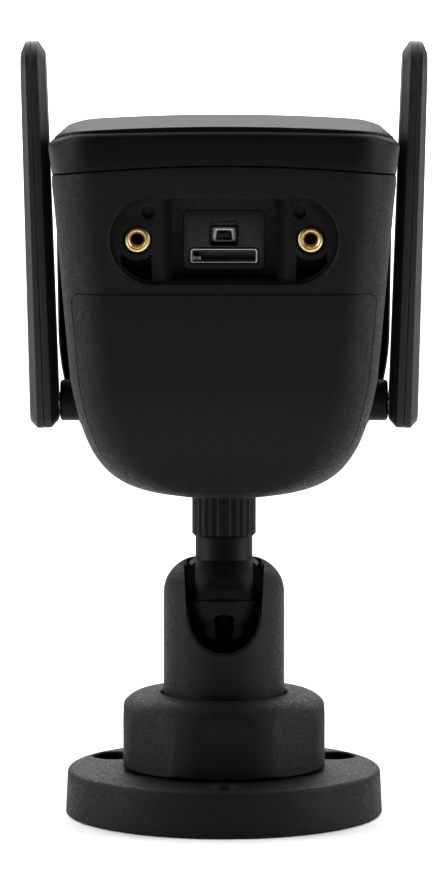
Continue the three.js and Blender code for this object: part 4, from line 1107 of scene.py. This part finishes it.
def solder_mask():
    """Glass-epoxy laminate under dark green solder mask: a gloss film over a 0.6 mm weave."""
    material, tree = new_material("solder_masked_glass_epoxy")
    place = node(tree, "ShaderNodeTexCoord").outputs["Object"]
    warp = node(tree, "ShaderNodeTexWave", {"Scale": 520.0, "bands_direction": "X"}, {"Vector": place})
    weft = node(tree, "ShaderNodeTexWave", {"Scale": 520.0, "bands_direction": "Z"}, {"Vector": place})
    weave = node(tree, "ShaderNodeMath", {"operation": "MULTIPLY"},
        {0: warp.outputs["Fac"], 1: weft.outputs["Fac"]})
    tone = node(tree, "ShaderNodeValToRGB", links={"Fac": weave.outputs["Value"]})
    tone.color_ramp.elements[0].color, tone.color_ramp.elements[1].color = linear("#0a140e"), linear("#10211a")
    bump = node(tree, "ShaderNodeBump", {"Strength": 0.1, "Distance": 0.00002},
        {"Height": weave.outputs["Value"]})
    shader = node(tree, "ShaderNodeBsdfPrincipled", {"Roughness": 0.3, "IOR": 1.52},
                  {"Base Color": tone.outputs["Color"], "Normal": bump.outputs["Normal"]})
    return finish_material(material, tree, shader)


def blasted_aluminium():
    """Bead-blasted aluminium: a bright even metal with 0.1 mm dimples."""
    material, tree = new_material("bead_blasted_aluminium")
    place = node(tree, "ShaderNodeTexCoord").outputs["Object"]
    dimples = node(tree, "ShaderNodeTexNoise", {"Scale": 9000.0, "Detail": 1.0}, {"Vector": place})
    bump = node(tree, "ShaderNodeBump", {"Strength": 0.2, "Distance": 0.00002},
        {"Height": dimples.outputs["Fac"]})
    shader = node(tree, "ShaderNodeBsdfPrincipled",
                  {"Base Color": linear("#c9cbcc"), "Metallic": 1.0, "Roughness": 0.3},
                  {"Normal": bump.outputs["Normal"]})
    return finish_material(material, tree, shader)


rubber = silicone()
laminate = solder_mask()
aluminium = blasted_aluminium()
painted(rubber, "shell_seal")
painted(laminate, "service_board", "main_board", "sensor_board", "front_board", "antenna_element_left",
    "antenna_element_right")
painted(steel, "shield_can", "microphone", "antenna_pin_left", "antenna_pin_right")
painted(aluminium, "heat_spreader", "spot_reflector_left", "spot_reflector_right")
painted(acetal, "speaker", "lens_holder", "image_sensor", "infrared_filter_frame")


# ---------------------------------------------------------------------------------------------
# Front bezel: a satin ABS frame round the window, with rounded outer edges and a sloped inner lip.
# It is glued to the front housing's edge.
# ---------------------------------------------------------------------------------------------
bezel_low, bezel_high = box_mm("front_bezel")
LIP = 3.4
face_outline = front_path()
half_face = [p for p in face_outline if p[0] > 0]
top_line = []
for k in range(1, 16):
    x = half_face[-1][0] - 2 * half_face[-1][0] * k / 16
    top_line.append((x, roof(x, bezel_high.y, SEAM - 0.05)))
face_outline = [(x, min(z, roof(x, bezel_high.y, SEAM - 0.05))) for x, z in face_outline] + top_line


def bezel_ring(y, inset):
    return [(x, y, z) for x, z in grown(face_outline, -inset)]


front_face = bezel_low.y
bezel_rings = [bezel_ring(bezel_high.y, 0.35), bezel_ring(bezel_high.y - 0.12, 0.1),
    bezel_ring(bezel_high.y - 0.4, 0)]
bezel_rings += [bezel_ring(front_face + 1.2 * (1 - math.sin(math.radians(a))),
    1.2 * (1 - math.cos(math.radians(a))))
                for a in range(0, 91, 18)]
bezel_rings += [bezel_ring(front_face, 2.0), bezel_ring(front_face + 0.1, 2.2),
    bezel_ring(front_face + 0.9, LIP - 0.1),
                bezel_ring(front_face + 1.1, LIP), bezel_ring(bezel_high.y, LIP)]
front_bezel = wrapped("front_bezel_moulding", bezel_rings + bezel_rings[:1], closed=True)
finished(front_bezel, satin, "head", "satin_housing", "front_bezel", angle=30)


# ---------------------------------------------------------------------------------------------
# Front window: a plate of smoked polycarbonate, polished, with bores for the lens and two spotlights
# and a pinhole for the microphone.
# ---------------------------------------------------------------------------------------------
def smoked_polycarbonate():
    """Smoked polycarbonate, moulded and hard-coated: a deep black gloss that mirrors its surroundings."""
    material, tree = new_material("polished_smoked_polycarbonate")
    place = node(tree, "ShaderNodeTexCoord").outputs["Object"]
    haze = node(tree, "ShaderNodeTexNoise", {"Scale": 60.0, "Detail": 3.0}, {"Vector": place})
    gloss = node(tree, "ShaderNodeMapRange", {"To Min": 0.04, "To Max": 0.09}, {"Value": haze.outputs["Fac"]})
    shader = node(tree, "ShaderNodeBsdfPrincipled",
                  {"Base Color": linear("#08080a"), "IOR": 1.585, "Coat Weight": 0.5, "Coat Roughness": 0.03},
                  {"Roughness": gloss.outputs["Result"]})
    return finish_material(material, tree, shader)


window_gloss = smoked_polycarbonate()
plate_low, plate_high = box_mm("front_window")
spot_low, spot_high = box_mm("spot_lens_right")
LENS_HEIGHT = 101
SPOT_X = 21
front_window = prism("front_window_plate", grown(face_outline, -LIP - 0.08), "Y", plate_low.y, plate_high.y)
cut(front_window,
    turned("lens_bore_tool", [(0, -70), (8.75, -70), (8.75, plate_low.y - 0.05), (8.3, plate_low.y + 0.4),
    (8.3, -58), (0, -58)],
           (0, LENS_HEIGHT), "Y", 80),
    turned("microphone_hole_tool", [(0, -70), (0.7, -70), (0.7, plate_low.y), (0.5, plate_low.y + 0.2),
    (0.5, -58), (0, -58)],
           (0, LENS_HEIGHT + 17), "Y", 20))
for side in (1, -1):
    cut(front_window, turned("spot_bore_tool", [
        (0, -70), (8.0, -70), (8.0, plate_low.y - 0.05), (7.6, plate_low.y + 0.35), (7.6, -58), (0, -58)],
        (SPOT_X * side, LENS_HEIGHT), "Y", 64))
finished(front_window, window_gloss, "head", "gloss_window", "front_window", angle=28)


# ---------------------------------------------------------------------------------------------
# Lens: a satin ABS barrel with stepped light baffles round a coated front glass.
# The filter behind it slides sideways by day, and keeps the plain shape of its solid.
# ---------------------------------------------------------------------------------------------
def coated_glass():
    """Optical glass with a magnesium fluoride coating: clear, with its weak violet reflection painted in as a
    violet to green tint that changes with the viewing angle.
    """
    material, tree = new_material("coated_optical_glass")
    facing = node(tree, "ShaderNodeLayerWeight", {"Blend": 0.35})
    # Painted reflection: the colour runs from violet where the glass faces the camera to green at grazing
    # angles, in place of the coating's reflection.
    painted_reflection_tint = node(tree, "ShaderNodeValToRGB", links={"Fac": facing.outputs["Facing"]})
    painted_reflection_tint.color_ramp.elements[0].color, painted_reflection_tint.color_ramp.elements[1].color = linear("#d9d4f2"), linear("#b9e6cf")
    shader = node(tree, "ShaderNodeBsdfPrincipled",
                  {"Roughness": 0.02, "IOR": 1.52, "Transmission Weight": 1.0, "Coat Weight": 0.3,
                  "Coat Roughness": 0.02},
                  {"Base Color": painted_reflection_tint.outputs["Color"]})
    return finish_material(material, tree, shader)


glass = coated_glass()
barrel_low, barrel_high = box_mm("lens_barrel")
glass_low, glass_high = box_mm("lens_glass")
b = barrel_low.y
lens_barrel = turned("lens_barrel_turning", [
    (4, barrel_high.y), (4, b + 4), (6.55, b + 4), (6.6, b + 1.6), (6.9, b + 1.5), (6.95, b + 1.1),
    (7.2, b + 1.0),
    (7.25, b + 0.5), (7.5, b + 0.35), (7.6, b + 0.05), (7.7, b), (7.85, b), (8.0, b + 0.2),
    (8.0, barrel_high.y)],
    (0, LENS_HEIGHT), "Y", 112)
finished(lens_barrel, satin, "head", "satin_housing", "lens_barrel", angle=28)
dome = bow(0, glass_low.y + 9, 9, -90, -44.8, 14)
lens_glass = turned("lens_front_glass", [(x, y) for x, y in dome] + [(6.4, glass_high.y - 0.3),
    (6.1, glass_high.y),
                                                                   (0, glass_high.y)], (0, LENS_HEIGHT),
                                                                   "Y", 96)
finished(lens_glass, glass, "head", "lens_glass", "lens_glass", angle=28)
painted(glass, "infrared_filter_glass")


# ---------------------------------------------------------------------------------------------
# Spotlights: a clear polycarbonate lens with moulded rings over each aluminium reflector, and a
# yellow phosphor lamp behind it. The infrared and status lamps are the same clear resin.
# ---------------------------------------------------------------------------------------------
def clear_polycarbonate():
    """Clear polycarbonate from a polished tool: bright and transparent, with a slight cool haze."""
    material, tree = new_material("clear_moulded_polycarbonate")
    place = node(tree, "ShaderNodeTexCoord").outputs["Object"]
    haze = node(tree, "ShaderNodeTexNoise", {"Scale": 300.0, "Detail": 2.0}, {"Vector": place})
    gloss = node(tree, "ShaderNodeMapRange", {"To Min": 0.03, "To Max": 0.12}, {"Value": haze.outputs["Fac"]})
    shader = node(tree, "ShaderNodeBsdfPrincipled",
                  {"Base Color": linear("#f1f4f6"), "IOR": 1.585, "Transmission Weight": 1.0},
                  {"Roughness": gloss.outputs["Result"]})
    return finish_material(material, tree, shader)


def phosphor():
    """Lamp phosphor cast in silicone: a soft matt yellow with fine specks about 0.1 mm across."""
    material, tree = new_material("cast_lamp_phosphor")
    place = node(tree, "ShaderNodeTexCoord").outputs["Object"]
    specks = node(tree, "ShaderNodeTexNoise", {"Scale": 9000.0, "Detail": 1.0}, {"Vector": place})
    tone = node(tree, "ShaderNodeValToRGB", links={"Fac": specks.outputs["Fac"]})
    tone.color_ramp.elements[0].color, tone.color_ramp.elements[1].color = linear("#dcc45a"), linear("#efe08c")
    shader = node(tree, "ShaderNodeBsdfPrincipled", {"Roughness": 0.6, "IOR": 1.45},
        {"Base Color": tone.outputs["Color"]})
    return finish_material(material, tree, shader)


clear = clear_polycarbonate()
for side, word in ((1, "right"), (-1, "left")):
    face = []
    for k in range(6):
        radius = 6.4 - k
        face += [(radius, spot_low.y + 0.28), (radius - 0.85, spot_low.y + 0.1),
            (radius - 0.95, spot_low.y + 0.3)]
    spot = turned(f"spot_lens_moulding_{word}", [
        (0, spot_high.y), (7.35, spot_high.y), (7.35, spot_low.y + 0.25), (7.1, spot_low.y),
        (6.6, spot_low.y), *face,
        (0, spot_low.y + 0.15)], (SPOT_X * side, LENS_HEIGHT), "Y", 72)
    finished(spot, clear, "head", "clear_plastic", f"spot_lens_{word}", angle=20)
painted(clear, "infrared_lamp_left", "infrared_lamp_right", "light_sensor", "status_light")
painted(phosphor(), "spot_lamp_left", "spot_lamp_right")


# ---------------------------------------------------------------------------------------------
# Antennas: flat satin ABS blades welded from two halves, with broad chamfers, a thinner tip and a
# flat foot. Each leans out a little and folds on a steel pin, and a rubber rest steadies its tip.
# ---------------------------------------------------------------------------------------------
# Painted light: this copy of the same satin ABS has lighter tones and a stronger specular level than the
# hood's copy, so the antenna blades read lighter, as if lit along their sides.
blade_abs = satin_abs("satin_abs_painted_lighter_as_lit", "#121211", "#1b1b1a", 0.25)
PIVOT_Y = 5
PIVOT_HEIGHT = 82.6
BLADE_INNER = 32.4
BLADE_LEAN = math.atan2(TOP_HALF + 0.6 - BLADE_INNER, HEAD_EDGE - PIVOT_HEIGHT)
BLADE_HALF = 7
BLADE_TOP = 70.4
BLADE_FOOT = -4.9
BLADE_SPLIT = 2.8
BLADE_THICK = 5.6
TIP_THICK = 4.8


def blade_ring(side, depth, inset):
    """One ring of a blade, seen from its side, at a depth from its inner face, leant out at the pivot."""
    ring = []
    outline = rounded([(-BLADE_HALF + inset, BLADE_FOOT + inset, 2.2),
        (BLADE_HALF - inset, BLADE_FOOT + inset, 2.2),
                       (BLADE_HALF - inset, BLADE_TOP - inset * 1.55, 5 - inset * 0.7),
                       (-BLADE_HALF + inset, BLADE_TOP - inset * 1.55, 5 - inset * 0.7)], 10)
    for y, z in outline:
        share = (z - BLADE_FOOT) / (BLADE_TOP - BLADE_FOOT)
        thick = BLADE_THICK + (TIP_THICK - BLADE_THICK) * share
        out = depth if depth <= BLADE_SPLIT else BLADE_SPLIT + (depth - BLADE_SPLIT) * (
            (thick - BLADE_SPLIT) / (BLADE_THICK - BLADE_SPLIT))
        ring.append((side * (BLADE_INNER + out * math.cos(BLADE_LEAN) + z * math.sin(BLADE_LEAN)),
            PIVOT_Y + y,
                     PIVOT_HEIGHT + z * math.cos(BLADE_LEAN) - out * math.sin(BLADE_LEAN)))
    return ring


HALF_RINGS = {
    "inner": ((0, 1.6), (0.03, 1.45), (0.12, 1.3), (1.28, 0.12), (1.42, 0.02), (1.6, 0), (2.66, 0),
    (2.74, 0.04), (2.78, 0.15)),
    "outer": ((2.82, 0.15), (2.86, 0.04), (2.94, 0), (4.0, 0), (4.18, 0.02), (4.32, 0.12), (5.48, 1.3),
    (5.57, 1.45), (5.6, 1.6)),
}
for side, word in ((1, "right"), (-1, "left")):
    for half, rings in HALF_RINGS.items():
        blade = wrapped(f"antenna_{half}_moulding_{word}", [blade_ring(side, *r) for r in rings],
            closed=True, capped=True)
        finished(blade, blade_abs, f"antenna_{word}", "satin_housing", f"antenna_{half}_{word}", angle=24)
    rest_low, rest_high = box_mm(f"antenna_rest_{word}")
    flank, tip = (rest_low.x, rest_high.x) if side > 0 else (rest_high.x, rest_low.x)
    middle = ((rest_low.y + rest_high.y) / 2, (rest_low.z + rest_high.z) / 2)
    bump = turned(f"antenna_rest_moulding_{word}", [
        (0, flank - 0.4 * side), (2.8, flank - 0.4 * side), (2.8, flank), (2.5, flank + (tip - flank) * 0.45),
        (1.9, flank + (tip - flank) * 0.78), (1.0, flank + (tip - flank) * 0.95), (0, tip)], middle, "X", 40)
    finished(bump, rubber, "head", "rubber_seal", f"antenna_rest_{word}")
